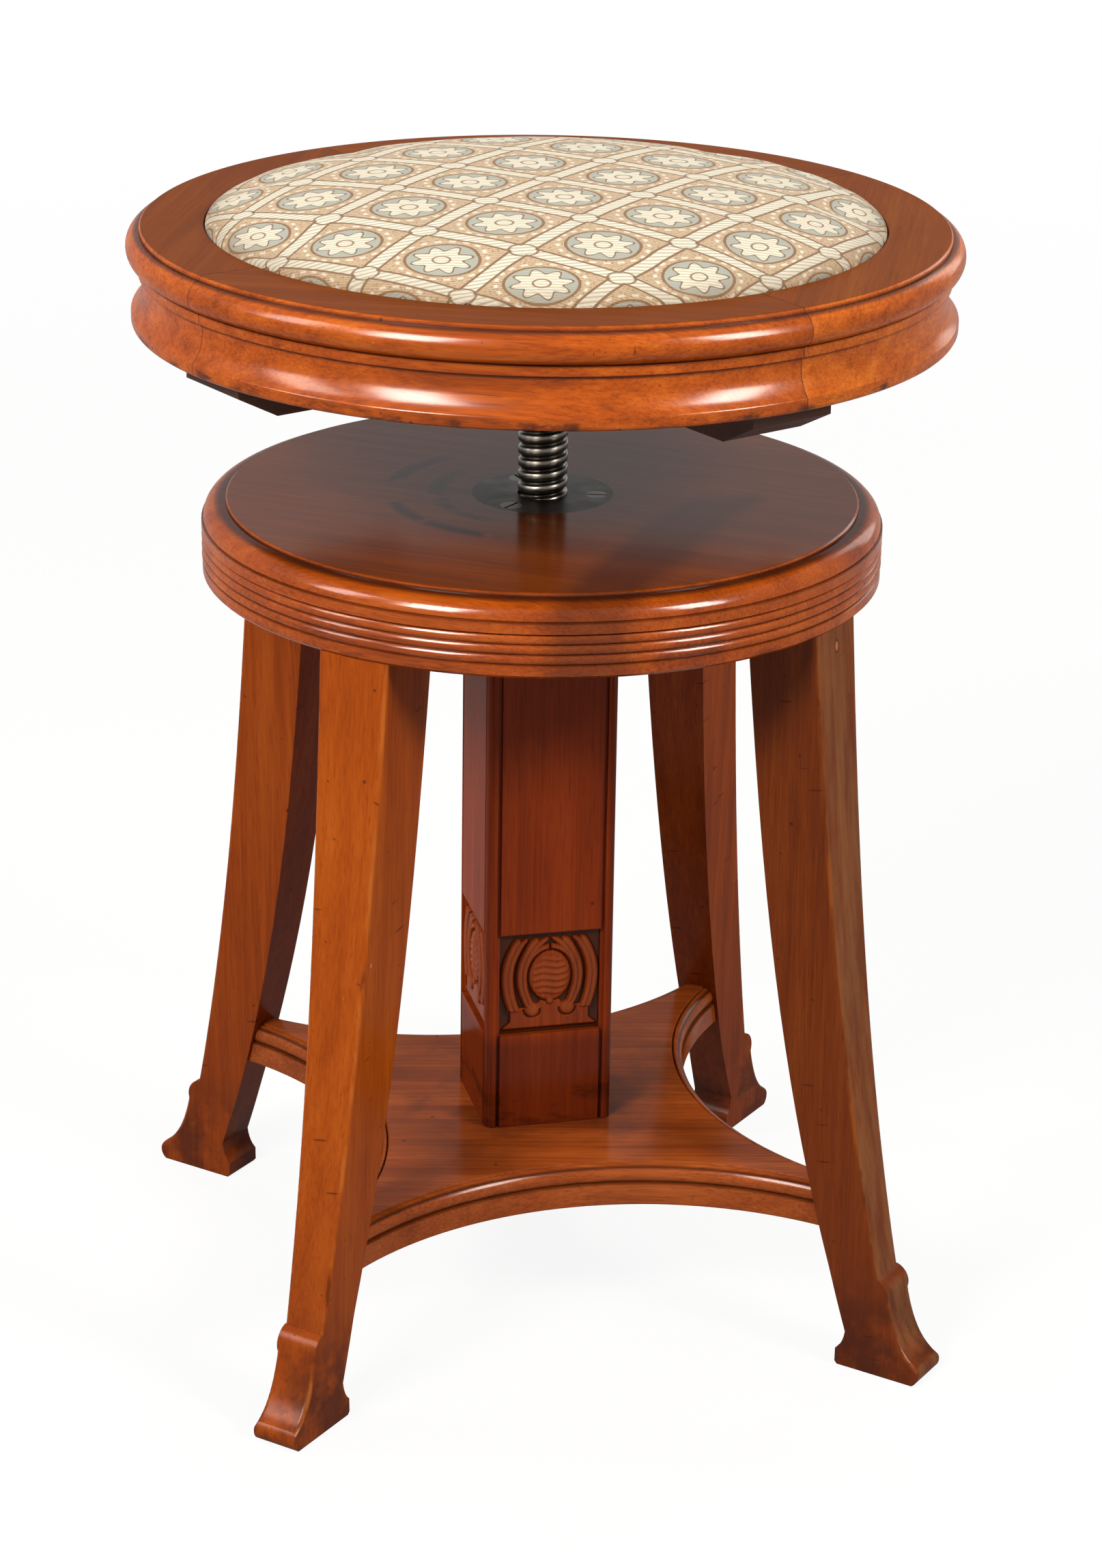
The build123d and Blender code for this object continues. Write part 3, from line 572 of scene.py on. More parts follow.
def rubbed_arrises(pale):
    """Layer of paler wood and knocks on a leg's rounded edges, which face neither along nor across it."""
    def layer(shade):
        x, y = shade.facing()
        edge = (x + y).size().lowest((x - y).size()).over(0.3, 0.75)
        broken = shade.spread((0.08, 0.08, 0.03), 3.0, 0.6)
        shade.tint(edge * broken.over(0.44, 0.62) * 0.55, pale)
        knocks = shade.spots((9, 9, 14), 0.3, 0.4)
        shade.tint(edge * knocks.highest(broken.under(0.3, 0.42)) * 0.6, (52, 24, 12))
    return layer


def peg_end(shade):
    """Pale end of a peg near the top of a leg's outer face."""
    across = (shade.x.size() - shade.y.size()) * DIAGONAL
    from_peg = across.hypot((shade.z - PEG_HEIGHT) * 0.6)
    outer = (shade.x.size() + shade.y.size()).over(PEG_REACH, PEG_REACH + 4.0)
    shade.tint(from_peg.under(1.6, 2.2) * outer * 0.6, DIRT_AND_SHADE)
    shade.tint(from_peg.under(1.0, 1.5) * outer * 0.9, (188, 108, 62))


def old_scratches(shade):
    """Pale chips, and thin dark scratches across the grain."""
    chips = shade.spots((11, 11, 24), 0.07, 0.14)
    shade.tint(chips * 0.7, (206, 140, 86))
    slanted = shade.spots((30, 30, 3.5), 0.16, 0.2, (0, 14, 0))
    steep = shade.spots((5, 5, 60), 0.11, 0.28, (20, 60, 0))
    shade.tint(slanted.highest(steep) * 0.65, (56, 26, 14))


def leg_wood(number):
    """Wood of one leg; the front right one, the second, is darker, faded with painted sheen outside and
    pegged.
    """
    tones = (
        ((126, 51, 8), (158, 70, 12), (178, 88, 22)),
        ((82, 33, 9), (108, 47, 13), (128, 62, 21)),
        ((108, 43, 8), (140, 60, 12), (160, 78, 22)),
        ((106, 42, 8), (138, 59, 12), (158, 76, 22)),
    )
    layers = (ankle_grime_and_shade, old_scratches)
    if number == 2:
        layers += (faded_sheen_face, rubbed_arrises((150, 78, 30)), peg_end)
    else:
        layers += (rubbed_arrises((186, 104, 42)),)
    name = f"leg_wood_{number}"
    return wood(name, tones[number - 1], UPRIGHT_GRAIN, LEG_FINISH, 90.0 * number, layers)


def column_wood():
    """Satin wood, darker below the carving, with a painted shadow of the disc at its top."""
    low = heights("platform")[1]
    high = heights("base_disc")[0]
    tones = ((108, 37, 10), (140, 52, 13), (160, 66, 18))

    def below_carving(shade):
        shade.tint(shade.z.under(low + 38.0, low + 48.0) * 0.5, (62, 23, 11))

    # Painted shadow of the disc on the top of the column.
    def painted_disc_shadow(shade):
        shade.tint(shade.z.over(high - 36.0, high - 6.0) * 0.5, (44, 20, 12))

    layers = (below_carving, painted_disc_shadow, worn_band(low, low + 20.0, (48, 19, 10), 0.5))
    return wood("column_wood", tones, UPRIGHT_GRAIN, COLUMN_FINISH, 10.0, layers)


def platform_wood():
    """Satin wood, dusty round the column and dark beside the bead."""
    top = heights("platform")[1]
    tones = ((102, 44, 15), (144, 67, 24), (176, 90, 39))

    def dusty_middle(shade):
        middle = shade.radius.under(40.0, 110.0)
        patch = shade.spread((0.03, 0.03, 0.03), 3.0).over(0.4, 0.65)
        shade.tint(middle * patch * 0.5, (58, 29, 17))

    layers = (dusty_middle, crevice(top - 1.6, 1.0, 0.8), crevice(top - 8.6, 1.2, 0.8))
    return wood("platform_wood", tones, (0, 0, 12), PLATFORM_FINISH, 60.0, layers)


def bearer_wood():
    """Unpolished wood, stained dark."""
    tones = ((40, 20, 11), (66, 35, 20), (92, 55, 34))
    return wood("bearer_wood", tones, (0, 0, -RIM_SEAM), BEARER_FINISH, 30.0)


def plain_wood(name, shift):
    """Pale unpolished wood of the hidden pieces."""
    tones = ((128, 92, 58), (168, 130, 88), (196, 160, 116))
    return wood(name, tones, (0, 0, 0), PLAIN_FINISH, shift)


def trellis_cloth():
    """Upholstery cloth: tan twill, a diagonal trellis of cream rope, and a rosette on satin in each cell."""
    shade = Shade("trellis_cloth")
    brown, cream, satin = (114, 78, 50), (222, 216, 198), (170, 172, 162)

    def patch(distance, reach, outline, softness=YARN / 2):
        """1 out to a reach, and the outline round that."""
        inside = distance.under(reach - softness, reach + softness)
        whole = distance.under(reach + outline - softness, reach + outline + softness)
        return inside, whole - inside

    spring = heights("pad_cover")[1] - CROWN_FALL / MM
    wrapped = ((spring - shade.z).highest(0.0) * 0.8 + shade.radius).math("DIVIDE", shade.radius)
    x = shade.x * wrapped
    y = shade.y * wrapped
    wander = shade.spread((0.02, 0.02, 0.0)) * 2.0 - 1.0
    across = (x + y) * DIAGONAL + wander
    along = (y - x) * DIAGONAL - wander
    from_left = across.in_cell(CLOTH_CELL)
    from_front = along.in_cell(CLOTH_CELL)
    to_left = CLOTH_CELL / 2 - from_left.size()
    to_front = CLOTH_CELL / 2 - from_front.size()
    from_middle = from_left.hypot(from_front)
    angle = from_left.math("ARCTAN2", from_front)
    petal_reach = (angle * PETALS).math("COSINE") * PETAL_SWING + PETAL_REACH

    rope, rope_edge = patch(to_left.lowest(to_front), ROPE_HALF_WIDTH, 1.2)
    knot, knot_edge = patch(to_left.hypot(to_front), KNOT_RADIUS, 1.2)
    ground, ground_edge = patch(from_middle, SATIN_RADIUS, 1.3)
    petals, petal_edge = patch(from_middle - petal_reach, 0.0, 0.9, 0.3)
    eye_edge = patch(from_middle, EYE_RADIUS, 1.0)[1]
    beads = from_middle.near(BEAD_RING, 1.5) * (angle * BEADS).math("COSINE").over(-0.2, 0.3)
    raised = rope.highest(petals).highest(knot)
    outline = rope_edge.highest(ground_edge).highest(petal_edge).highest(knot_edge).highest(eye_edge)

    strands = (across + along).wave(ROPE_LAY)
    ribs = (from_left + from_front * 0.6).wave(2.8)
    twill = (x * 0.6 + y).wave(1.8)
    weft = y.wave(1.6)
    slub = shade.spread((0.12, 1.4, 0.0), 3.0)
    flecks = shade.spread((0.9, 0.9, 0.0)).over(0.52, 0.66)

    shade.colour = tone((184, 154, 118))
    shade.tint(twill * 0.75, (212, 196, 172))
    shade.tint(flecks * 0.5 + slub * 0.2, brown)
    shade.tint(ground, satin)
    shade.tint(ground * weft * 0.45, (140, 138, 124))
    shade.tint(beads * (1.0 - rope), cream)
    shade.tint(raised, cream)
    shade.tint(rope * strands.under(0.1, 0.5) * 0.75, (168, 158, 136))
    shade.tint((raised - rope) * ribs.under(0.1, 0.5) * 0.65, (180, 164, 134))
    shade.tint(outline * 0.8, brown)
    shade.tint(shade.radius.over(130.0, 145.0) * 0.35, (120, 96, 70))
    shade.set(Base_Color=shade.colour, Roughness=0.88, Specular_IOR_Level=0.1)
    shade.set(Sheen_Weight=0.1, Sheen_Roughness=0.5)
    relief = raised * 0.6 + rope * strands * 0.6 + (raised - rope) * ribs * 0.5
    shade.bump(relief + ground * 0.2 + twill * 0.18 + weft * 0.12, 0.5)
    return shade.material


def plain_cloth(name, pale, deep, thread):
    """Coarse plain-woven cloth with slubs, of thread that repeats at a width in millimetres."""
    shade = Shade(name)
    weave = shade.x.wave(thread) * shade.y.wave(thread)
    slub = shade.spread((0.15, 0.15, 0.15), 4.0, 0.6)
    shade.ramp(weave * 0.4 + slub * 0.6, ((0.25, deep), (0.65, pale)))
    shade.set(Base_Color=shade.colour, Roughness=0.92)
    shade.bump(weave + slub * 0.4, 0.4)
    return shade.material


def in_scene(name, data):
    """A new object in the scene."""
    thing = bpy.data.objects.new(name, data)
    bpy.context.scene.collection.objects.link(thing)
    return thing


def new_piece(name, mesh_data, material, body):
    """A finished mesh as a piece that rides on a body."""
    piece = in_scene(name, mesh_data)
    mesh_data.materials.append(material)
    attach(piece, body)
    return piece


def mesh_of(name, points, faces, smooth=True):
    """A checked mesh whose faces all look outwards."""
    data = bpy.data.meshes.new(name)
    data.from_pydata(points, [], faces)
    data.validate()
    build = bmesh.new()
    build.from_mesh(data)
    bmesh.ops.recalc_face_normals(build, faces=build.faces)
    build.to_mesh(data)
    build.free()
    for face in data.polygons:
        face.use_smooth = smooth
    return data


def ring(radius, height, steps):
    """Points of a level circle."""
    return [
        (radius * math.cos(2 * math.pi * n / steps), radius * math.sin(2 * math.pi * n / steps), height)
        for n in range(steps)
    ]


def lead_screw(material):
    """Square-threaded screw: a helical sheet of shared rows, run out at both ends into plain journals."""
    screw_low, screw_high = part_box("seat_screw")
    crest = screw_high.x
    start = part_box("guide_block")[1].z + GUIDE_PLAY
    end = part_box("screw_flange")[0].z
    rows_per_turn = len(THREAD_PROFILE)
    turns = int((end - start) / THREAD_PITCH) - 2
    rows = turns * rows_per_turn + 1
    first = start + (end - start - (turns + 1) * THREAD_PITCH) / 2
    points = []
    index = {}

    def vertex(row, step):
        """The point at a row and angle step; a full turn along a row is the row one pitch further on."""
        if step == THREAD_STEPS and row + rows_per_turn < rows:
            return vertex(row + rows_per_turn, 0)
        if (row, step) not in index:
            share, rise = THREAD_PROFILE[row % rows_per_turn]
            height = first + THREAD_PITCH * (row // rows_per_turn + share + step / THREAD_STEPS)
            fade = smoothstep(0, THREAD_PITCH, height - start) * smoothstep(0, THREAD_PITCH, end - height)
            radius = THREAD_ROOT + (crest - THREAD_ROOT) * rise * fade
            angle = 2 * math.pi * step / THREAD_STEPS
            index[row, step] = len(points)
            points.append((radius * math.cos(angle), radius * math.sin(angle), height))
        return index[row, step]

    faces = []
    for row in range(rows - 1):
        for step in range(THREAD_STEPS):
            lower = (vertex(row, step), vertex(row, step + 1))
            faces.append(lower + (vertex(row + 1, step + 1), vertex(row + 1, step)))

    def add_ring(radius, height):
        """The numbers of a new circle's points."""
        base = len(points)
        points.extend(ring(radius, height, THREAD_STEPS))
        return [base + n for n in range(THREAD_STEPS)]

    def join(lower, upper):
        """Faces between two circles."""
        for n in range(THREAD_STEPS):
            m = (n + 1) % THREAD_STEPS
            faces.append((lower[n], lower[m], upper[m], upper[n]))

    top = add_ring(THREAD_ROOT, end)
    last = rows - 1
    for step in range(1, THREAD_STEPS):
        after = (step + 1) % THREAD_STEPS
        faces.append((vertex(last, step), vertex(last, step + 1), top[after], top[step]))
    seam = [vertex(row, THREAD_STEPS) for row in range(last, last - rows_per_turn, -1)]
    faces.append([vertex(last, 0), vertex(last, 1), top[1], top[0]] + seam)
    collar = add_ring(TOP_JOURNAL, end)
    shaft = add_ring(TOP_JOURNAL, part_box("screw_nut")[1].z)
    tip = add_ring(TOP_JOURNAL - TIP_CHAMFER, screw_high.z)
    join(top, collar)
    join(collar, shaft)
    join(shaft, tip)
    faces.append(tip)

    bottom = add_ring(THREAD_ROOT, start)
    for step in range(THREAD_STEPS - 1):
        faces.append((bottom[step], bottom[step + 1], vertex(0, step + 1), vertex(0, step)))
    seam = [vertex(row, 0) for row in range(rows_per_turn)]
    ending = [bottom[THREAD_STEPS - 1], bottom[0]]
    faces.append(ending + seam + [vertex(0, THREAD_STEPS), vertex(0, THREAD_STEPS - 1)])
    collar = add_ring(GUIDE_JOURNAL, start)
    foot = add_ring(GUIDE_JOURNAL, screw_low.z)
    join(bottom, collar)
    join(collar, foot)
    faces.append(list(reversed(foot)))
    data = mesh_of("lead_screw", points, faces)
    piece = new_piece("lead_screw", data, material, "seat")
    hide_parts("seat_screw")
    return piece


def dome_profile(radius, crown, shoulder, rings):
    """Radius and height of each ring of a crowned pad, from its middle out to its upright side."""
    spring = radius - CROWN_SHOULDER
    curve = (spring * spring + CROWN_FALL * CROWN_FALL) / (2 * CROWN_FALL)
    slope = spring / (curve - CROWN_FALL)
    profile = []
    for n in range(1, rings + 1):
        r = spring * n / rings
        profile.append((r, crown - curve + math.sqrt(curve * curve - r * r)))
    start = Vector(profile[-1])
    corner = Vector((radius, start.y - slope * (radius - start.x)))
    finish = Vector((radius, shoulder))
    for n in range(1, SHOULDER_RINGS + 1):
        t = n / SHOULDER_RINGS
        point = start * (1 - t) ** 2 + corner * (2 * t * (1 - t)) + finish * t * t
        profile.append((point.x, point.y))
    return profile


def grid(rows, columns, first=0, closed=False):
    """Faces between rows of points that are numbered row by row. Closed rows are rings."""
    faces = []
    for row in range(rows - 1):
        base = first + row * columns
        for n in range(columns if closed else columns - 1):
            m = (n + 1) % columns
            faces.append((base + n, base + m, base + columns + m, base + columns + n))
    return faces


def polar_mesh(crown, rings):
    """Revolved skin from a centre point out through rings of a radius and height."""
    points = [(0.0, 0.0, crown)]
    for radius, height in rings:
        points.extend(ring(radius, height, PAD_SEGMENTS))
    faces = [(0, 1 + n, 1 + (n + 1) % PAD_SEGMENTS) for n in range(PAD_SEGMENTS)]
    return points, faces + grid(len(rings), PAD_SEGMENTS, 1, closed=True)


def swell(piece, free_points):
    """Inflate the free points of a skin with cloth, and keep each within a cap of where it began."""
    began = [vertex.co.copy() for vertex in piece.data.vertices]
    pinned = piece.vertex_groups.new(name="pinned")
    free = set(free_points)
    pinned.add([n for n in range(len(began)) if n not in free], 1.0, "REPLACE")
    cloth = piece.modifiers.new("cloth", "CLOTH")
    settings = cloth.settings
    settings.effector_weights.gravity = 0.0
    settings.vertex_group_mass = "pinned"
    settings.use_pressure = True
    settings.uniform_pressure_force = 3.0
    settings.tension_stiffness = 30.0
    settings.compression_stiffness = 30.0
    settings.bending_stiffness = 4.0
    settings.quality = 6
    cloth.collision_settings.use_collision = False
    cloth.point_cache.frame_end = SIM_FRAMES
    scene = bpy.context.scene
    for step in range(1, SIM_FRAMES + 1):
        scene.frame_set(step)
    shaped = piece.evaluated_get(bpy.context.evaluated_depsgraph_get())
    moved = [vertex.co.copy() for vertex in shaped.to_mesh().vertices]
    shaped.to_mesh_clear()
    piece.modifiers.remove(cloth)
    scene.frame_set(1)
    for vertex, first, last in zip(piece.data.vertices, began, moved):
        step = last - first
        if step.length > SIM_CAP:
            step = step * (SIM_CAP / step.length)
        vertex.co = first + step


def seat_cover(material):
    """Woven cover: crowned over the stuffing, down the side of the frame and folded under it."""
    low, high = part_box("pad_cover")
    radius = high.x
    rim_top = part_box("rim_1")[1].z
    crown = high.z - SIM_SETBACK
    profile = dome_profile(radius, crown, rim_top - COVER_SHOULDER, COVER_RINGS)
    lower = [
        (radius, low.z + COVER_SIDE),
        (radius, low.z + FOLD_CHAMFER),
        (radius - FOLD_CHAMFER, low.z),
        (radius - FOLD_STEP, low.z),
        (COVER_FOLD, low.z),
    ]
    points, faces = polar_mesh(crown, profile + lower)
    data = mesh_of("seat_cover", points, faces)
    piece = new_piece("seat_cover", data, material, "seat")
    free_rings = len(profile) - 2
    swell(piece, range(1 + free_rings * PAD_SEGMENTS))
    tuck(piece, radius, rim_top)
    thick = piece.modifiers.new("thickness", "SOLIDIFY")
    thick.thickness = COVER_THICKNESS
    thick.offset = -1.0
    fine = piece.modifiers.new("fine", "SUBSURF")
    fine.levels = 1
    fine.render_levels = 1
    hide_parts("pad_cover")


def tuck(piece, radius, rim_top):
    """Slight pulls towards the tacks round the edge, and an uneven crown from use."""
    for vertex in piece.data.vertices:
        if vertex.co.z < rim_top - HELD_BELOW:
            continue
        angle = math.atan2(vertex.co.y, vertex.co.x)
        share = math.hypot(vertex.co.x, vertex.co.y) / radius
        edge = smoothstep(0.78, 0.93, share) * (1 - smoothstep(0.97, 1.0, share))
        pull = math.sin(TACKS * angle + 1.3 * math.sin(3 * angle))
        sag = (1 - smoothstep(0.2, 0.75, share)) * (1 + 0.4 * math.cos(angle - 0.8))
        vertex.co.z += TACK_PULL * edge * pull
        vertex.co.z -= SEAT_SAG * sag


def stuffing(material):
    """Hair and wadding under the cover, with a flat bottom on the webbing."""
    low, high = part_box("pad_stuffing")
    radius = high.x - FILLING_GAP
    crown = high.z - SIM_SETBACK - FILLING_GAP
    profile = dome_profile(radius, crown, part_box("rim_1")[1].z - FILLING_SHOULDER, FILLING_RINGS)
    lower = [(radius, low.z + 2 * FILLING_GAP), (radius - FILLING_GAP, low.z), (radius / 2, low.z)]
    points, faces = polar_mesh(crown, profile + lower)
    faces.append(range(len(points) - PAD_SEGMENTS, len(points)))
    piece = new_piece("pad_filling", mesh_of("pad_filling", points, faces), material, "seat")
    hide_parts("pad_stuffing")


def weave_level(along, number, home):
    """Side of the middle that a strap is on, -1 to 1: home at its ends, by turns over the cross straps."""
    def at_crossing(cross):
        if abs(cross) > 1:
            return home
        return home if (number + cross) % 2 == 0 else -home

    crossing = math.floor(along / STRAP_SPACING)
    share = along / STRAP_SPACING - crossing
    hold = (STRAP_WIDTH / 2 + STRAP_HOLD) / STRAP_SPACING
    step = smoothstep(hold, 1 - hold, share)
    return at_crossing(crossing) * (1 - step) + at_crossing(crossing + 1) * step


def webbing_straps(node, turn, material, home):
    """Three woven straps of one layer, each passing over and under those of the other layer."""
    low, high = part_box(node)
    thickness = high.z - low.z
    weave_middle = low.z if home > 0 else high.z
    rotation = Matrix.Rotation(math.radians(turn), 3, "Z")
    for number in (-1, 0, 1):
        offset = STRAP_SPACING * number
        half_length = math.sqrt(STRAP_REACH ** 2 - (abs(offset) + STRAP_WIDTH / 2) ** 2)
        points = []
        for n in range(STRAP_STEPS + 1):
            along = half_length * (2 * n / STRAP_STEPS - 1)
            height = weave_middle + weave_level(along, number, home) * thickness / 2
            for side in (-1, 1):
                for level in (-1, 1):
                    across = offset + side * STRAP_WIDTH / 2
                    face = height + level * thickness * STRAP_FILL / 2
                    points.append(rotation @ Vector((along, across, face)))
        faces = []
        for n in range(STRAP_STEPS):
            a = 4 * n
            b = a + 4
            faces += [(a, b, b + 1, a + 1), (a + 2, a + 3, b + 3, b + 2)]
            faces += [(a, a + 2, b + 2, b), (a + 1, b + 1, b + 3, a + 3)]
        end = 4 * STRAP_STEPS
        faces += [(0, 1, 3, 2), (end, end + 2, end + 3, end + 1)]
        name = f"{node}_{number + 2}"
        piece = new_piece(name, mesh_of(name, points, faces, smooth=False), material, "seat")
        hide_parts(node)


def leaf_band(x, z, middle, lower, upper, half_width, fan):
    """Height of a grooved leaf beside the boss: it bows out at the boss and leans in above and below it."""
    rise = z - BOSS_HEIGHT
    if rise > 0:
        share = rise / (LEAF_TOP - BOSS_HEIGHT)
        centre = middle - (middle - upper) * share ** 2
        half = half_width + (fan - half_width) * share ** 2
    else:
        share = rise / (LEAF_FOOT - BOSS_HEIGHT)
        centre = middle - (middle - lower) * share ** 2
        half = half_width
    place = (abs(x) - centre) / half
    if abs(place) >= 1 or z < LEAF_FOOT:
        return 0.0
    tip = LEAF_TOP + LEAF_TIP - LEAF_TIP_ROUND * (2 * abs(place) - 1) ** 2
    height = (1 - place ** 6) * (1 - smoothstep(tip - 0.6, tip + 0.4, z))
    groove = math.exp(-(place * half / LEAF_GROOVE) ** 2)
    return height * (0.94 - 0.24 * groove - 0.1 * place ** 2)


def frieze_relief(x, z):
    """Height of the carving over its ground, 0 to 1, at a place on the field, in millimetres."""
    plinth_top = PLINTH_TOP - PLINTH_SHOULDER * smoothstep(4.0, 7.0, abs(x))
    plinth_half = PLINTH_HALF_WIDTH + PLINTH_FLARE * (1 - smoothstep(2.0, 6.5, z))
    plinth = smoothstep(1.2, 3.4, z) * (1 - smoothstep(plinth_top - 0.4, plinth_top + 0.5, z))
    plinth *= 1 - smoothstep(plinth_half - 0.8, plinth_half, abs(x))
    height = max(0.58 * plinth, leaf_band(x, z, **OUTER_LEAF), leaf_band(x, z, **INNER_LEAF))
    scroll = math.hypot(abs(x) - SCROLL_REACH, z - LEAF_FOOT) / SCROLL_RADIUS
    if scroll < 1.0:
        height = max(height, 0.55 + 0.4 * math.sqrt(1 - scroll * scroll))
    elif scroll < 1.25 and z < 12:
        height = min(height, 0.25)
    around_boss = math.hypot(x / BOSS_HALF_WIDTH, (z - BOSS_HEIGHT) / BOSS_HALF_HEIGHT)
    if around_boss < 1.3 and z > BOSS_HEIGHT:
        arch = 1 - ((around_boss - 1.18) / 0.12) ** 4
        height = max(height, 0.8 * arch * smoothstep(0.1, 0.8, abs(x)))
    if around_boss < 1.07:
        height = 0.12
    if around_boss < 1.0:
        dome = math.sqrt(1 - around_boss ** 2)
        ribs = math.sin(2 * math.pi * (z + 0.5 * math.sin(0.5 * x)) / BOSS_RIB_PITCH)
        height = 0.46 + 0.44 * dome ** 0.7 + 0.1 * ribs * smoothstep(0.35, 0.7, dome)
    tongue = math.hypot(x / TONGUE_HALF_WIDTH, (z - PLINTH_TOP) / TONGUE_HALF_HEIGHT)
    if tongue < 1.0:
        height = max(height, 0.6 + 0.35 * math.sqrt(1 - tongue ** 2))
    return height


def carved_frieze(name, turn, material):
    """One carved panel let into the sunk field of a column face, closed at its back."""
    columns = round(FRIEZE_WIDTH / FRIEZE_STEP)
    rows = round(FRIEZE_HEIGHT / FRIEZE_STEP)
    ground = COLUMN_FACE - FRIEZE_DEPTH + FRIEZE_LIFT
    bottom = heights("platform")[1] + FRIEZE_RISE
    rotation = Matrix.Rotation(math.radians(turn), 3, "Z")
    points = []
    for row in range(rows + 1):
        for column in range(columns + 1):
            x = FRIEZE_WIDTH * (column / columns - 0.5)
            z = FRIEZE_HEIGHT * row / rows
            border = row in (0, rows) or column in (0, columns)
            height = 0.0 if border else FRIEZE_DEPTH * frieze_relief(x, z)
            points.append(rotation @ Vector((x, -ground - height, bottom + z)) * MM)
    width = columns + 1
    faces = grid(rows + 1, width)
    edge = list(range(width))
    edge += [row * width + columns for row in range(1, rows + 1)]
    edge += [rows * width + column for column in range(columns - 1, -1, -1)]
    edge += [row * width for row in range(rows - 1, 0, -1)]
    back = len(points)
    inwards = rotation @ Vector((0, FRIEZE_BACK, 0)) * MM
    points += [points[corner] + inwards for corner in edge]
    for n in range(len(edge)):
        m = (n + 1) % len(edge)
        faces.append((edge[n], back + n, back + m, edge[m]))
    faces.append([back + n for n in range(len(edge))])
    new_piece(name, mesh_of(name, points, faces), material, "base")


def carved_wood():
    """Column wood, dusty where the carving is deep and paler where it stands out."""
    tones = ((96, 35, 10), (134, 53, 16), (160, 71, 26))

    def deep(shade):
        depth = COLUMN_FACE - shade.x.size().highest(shade.y.size())
        shade.tint(depth.under(0.2, 0.9) * 0.3, (158, 84, 44))
        shade.tint(depth.over(1.4, 2.4) * 0.8, (52, 25, 13))
        shade.tint(depth.over(2.4, 2.95) * 0.5, (68, 38, 21))

    return wood("carved_wood", tones, UPRIGHT_GRAIN, CARVED_FINISH, 10.0, (deep,))


def paint(material, *nodes):
    """Give kept solids their finish."""
    for node in nodes:
        slots = frame["nodes"][node].data.materials
        slots.clear()
        slots.append(material)


def area_light(name, place, width, height, power, lights=True, mirrored=False):
    """A lamp that lights the stool, shows in its polish, or both."""
    data = bpy.data.lights.new(name, "AREA")
    data.shape = "RECTANGLE"
    data.size = width
    data.size_y = height
    data.energy = power
    data.color = LAMP_COLOUR
    lamp = in_scene(name, data)
    lamp.location = place
    lamp.rotation_euler = (Vector(LAMP_AIM) - Vector(place)).to_track_quat("-Z", "Y").to_euler()
    lamp.visible_diffuse = lights
    lamp.visible_glossy = mirrored
    return lamp


def backdrop_rays(tree):
    """1 for the rays that show a backdrop: from the camera, off polished surfaces and through glass."""
    path = tree.nodes.new("ShaderNodeLightPath")
    shown = path.outputs["Is Camera Ray"]
    for kind in ("Is Transmission Ray", "Is Glossy Ray"):
        node = tree.nodes.new("ShaderNodeMath")
        node.operation = "MAXIMUM"
        tree.links.new(shown, node.inputs[0])
        tree.links.new(path.outputs[kind], node.inputs[1])
        shown = node.outputs["Value"]
    return shown


def white_world():
    """World that shows as plain white, and lights the stool softly."""
    world = bpy.data.worlds.new("studio")
    bpy.context.scene.world = world
    world.use_nodes = True
    tree = world.node_tree
    tree.nodes.clear()
    output = tree.nodes.new("ShaderNodeOutputWorld")
    plain = tree.nodes.new("ShaderNodeBackground")
    plain.inputs["Color"].default_value = WORLD_TINT
    plain.inputs["Strength"].default_value = WORLD_STRENGTH
    white = tree.nodes.new("ShaderNodeBackground")
    white.inputs["Color"].default_value = (1, 1, 1, 1)
    mix = tree.nodes.new("ShaderNodeMixShader")
    tree.links.new(backdrop_rays(tree), mix.inputs[0])
    tree.links.new(plain.outputs[0], mix.inputs[1])
    tree.links.new(white.outputs[0], mix.inputs[2])
    tree.links.new(mix.outputs[0], output.inputs["Surface"])


def floor_paper():
    """Pale paper that keeps a soft shadow, throws little light back up and whitens with distance."""
    shade = Shade("floor_paper")
    thrown_back = Value(shade, shade.node("LightPath").outputs["Is Diffuse Ray"])
    shade.set(Base_Color=thrown_back * (FLOOR_BOUNCE - FLOOR_TONE) + FLOOR_TONE, Roughness=0.9)
    whitening = shade.radius.over(FLOOR_NEAR / MM, FLOOR_FAR / MM) * (1 - FLOOR_GLOW) + FLOOR_GLOW
    mix = shade.node("MixShader", Fac=whitening * Value(shade, backdrop_rays(shade.tree)))
    shade.plug(mix.inputs[1], shade.surface.outputs["BSDF"])
    shade.plug(mix.inputs[2], shade.node("Emission").outputs["Emission"])
    shade.plug(shade.output.inputs["Surface"], mix.outputs["Shader"])
    return shade.material


def floor():
    """Square sheet under the stool."""
    reach = FLOOR_REACH
    corners = [(-reach, -reach, 0), (reach, -reach, 0), (reach, reach, 0), (-reach, reach, 0)]
    data = bpy.data.meshes.new("floor")
    data.from_pydata(corners, [], [(0, 1, 2, 3)])
    data.materials.append(floor_paper())
    in_scene("floor", data)


def soft_lamps():
    """Soft boxes all round; the strip behind on the right also shows in the polish."""
    area_light("key", (-1.2, -1.8, 2.3), 0.5, 0.5, 7.0)
    area_light("left_box", (-1.6, -1.36, 1.75), 0.75, 0.55, 50.0)
    area_light("right_box", (1.4, -1.61, 1.65), 0.6, 0.5, 37.0)
    area_light("left_strip", (-1.9, 0.8, 1.3), 0.35, 0.7, 12.0)
    area_light("right_strip", (1.6, 1.3, 1.0), 0.5, 1.0, 7.0, mirrored=True)
    area_light("top_fill", (0.2, 0.5, 2.3), 1.2, 1.2, 12.0)


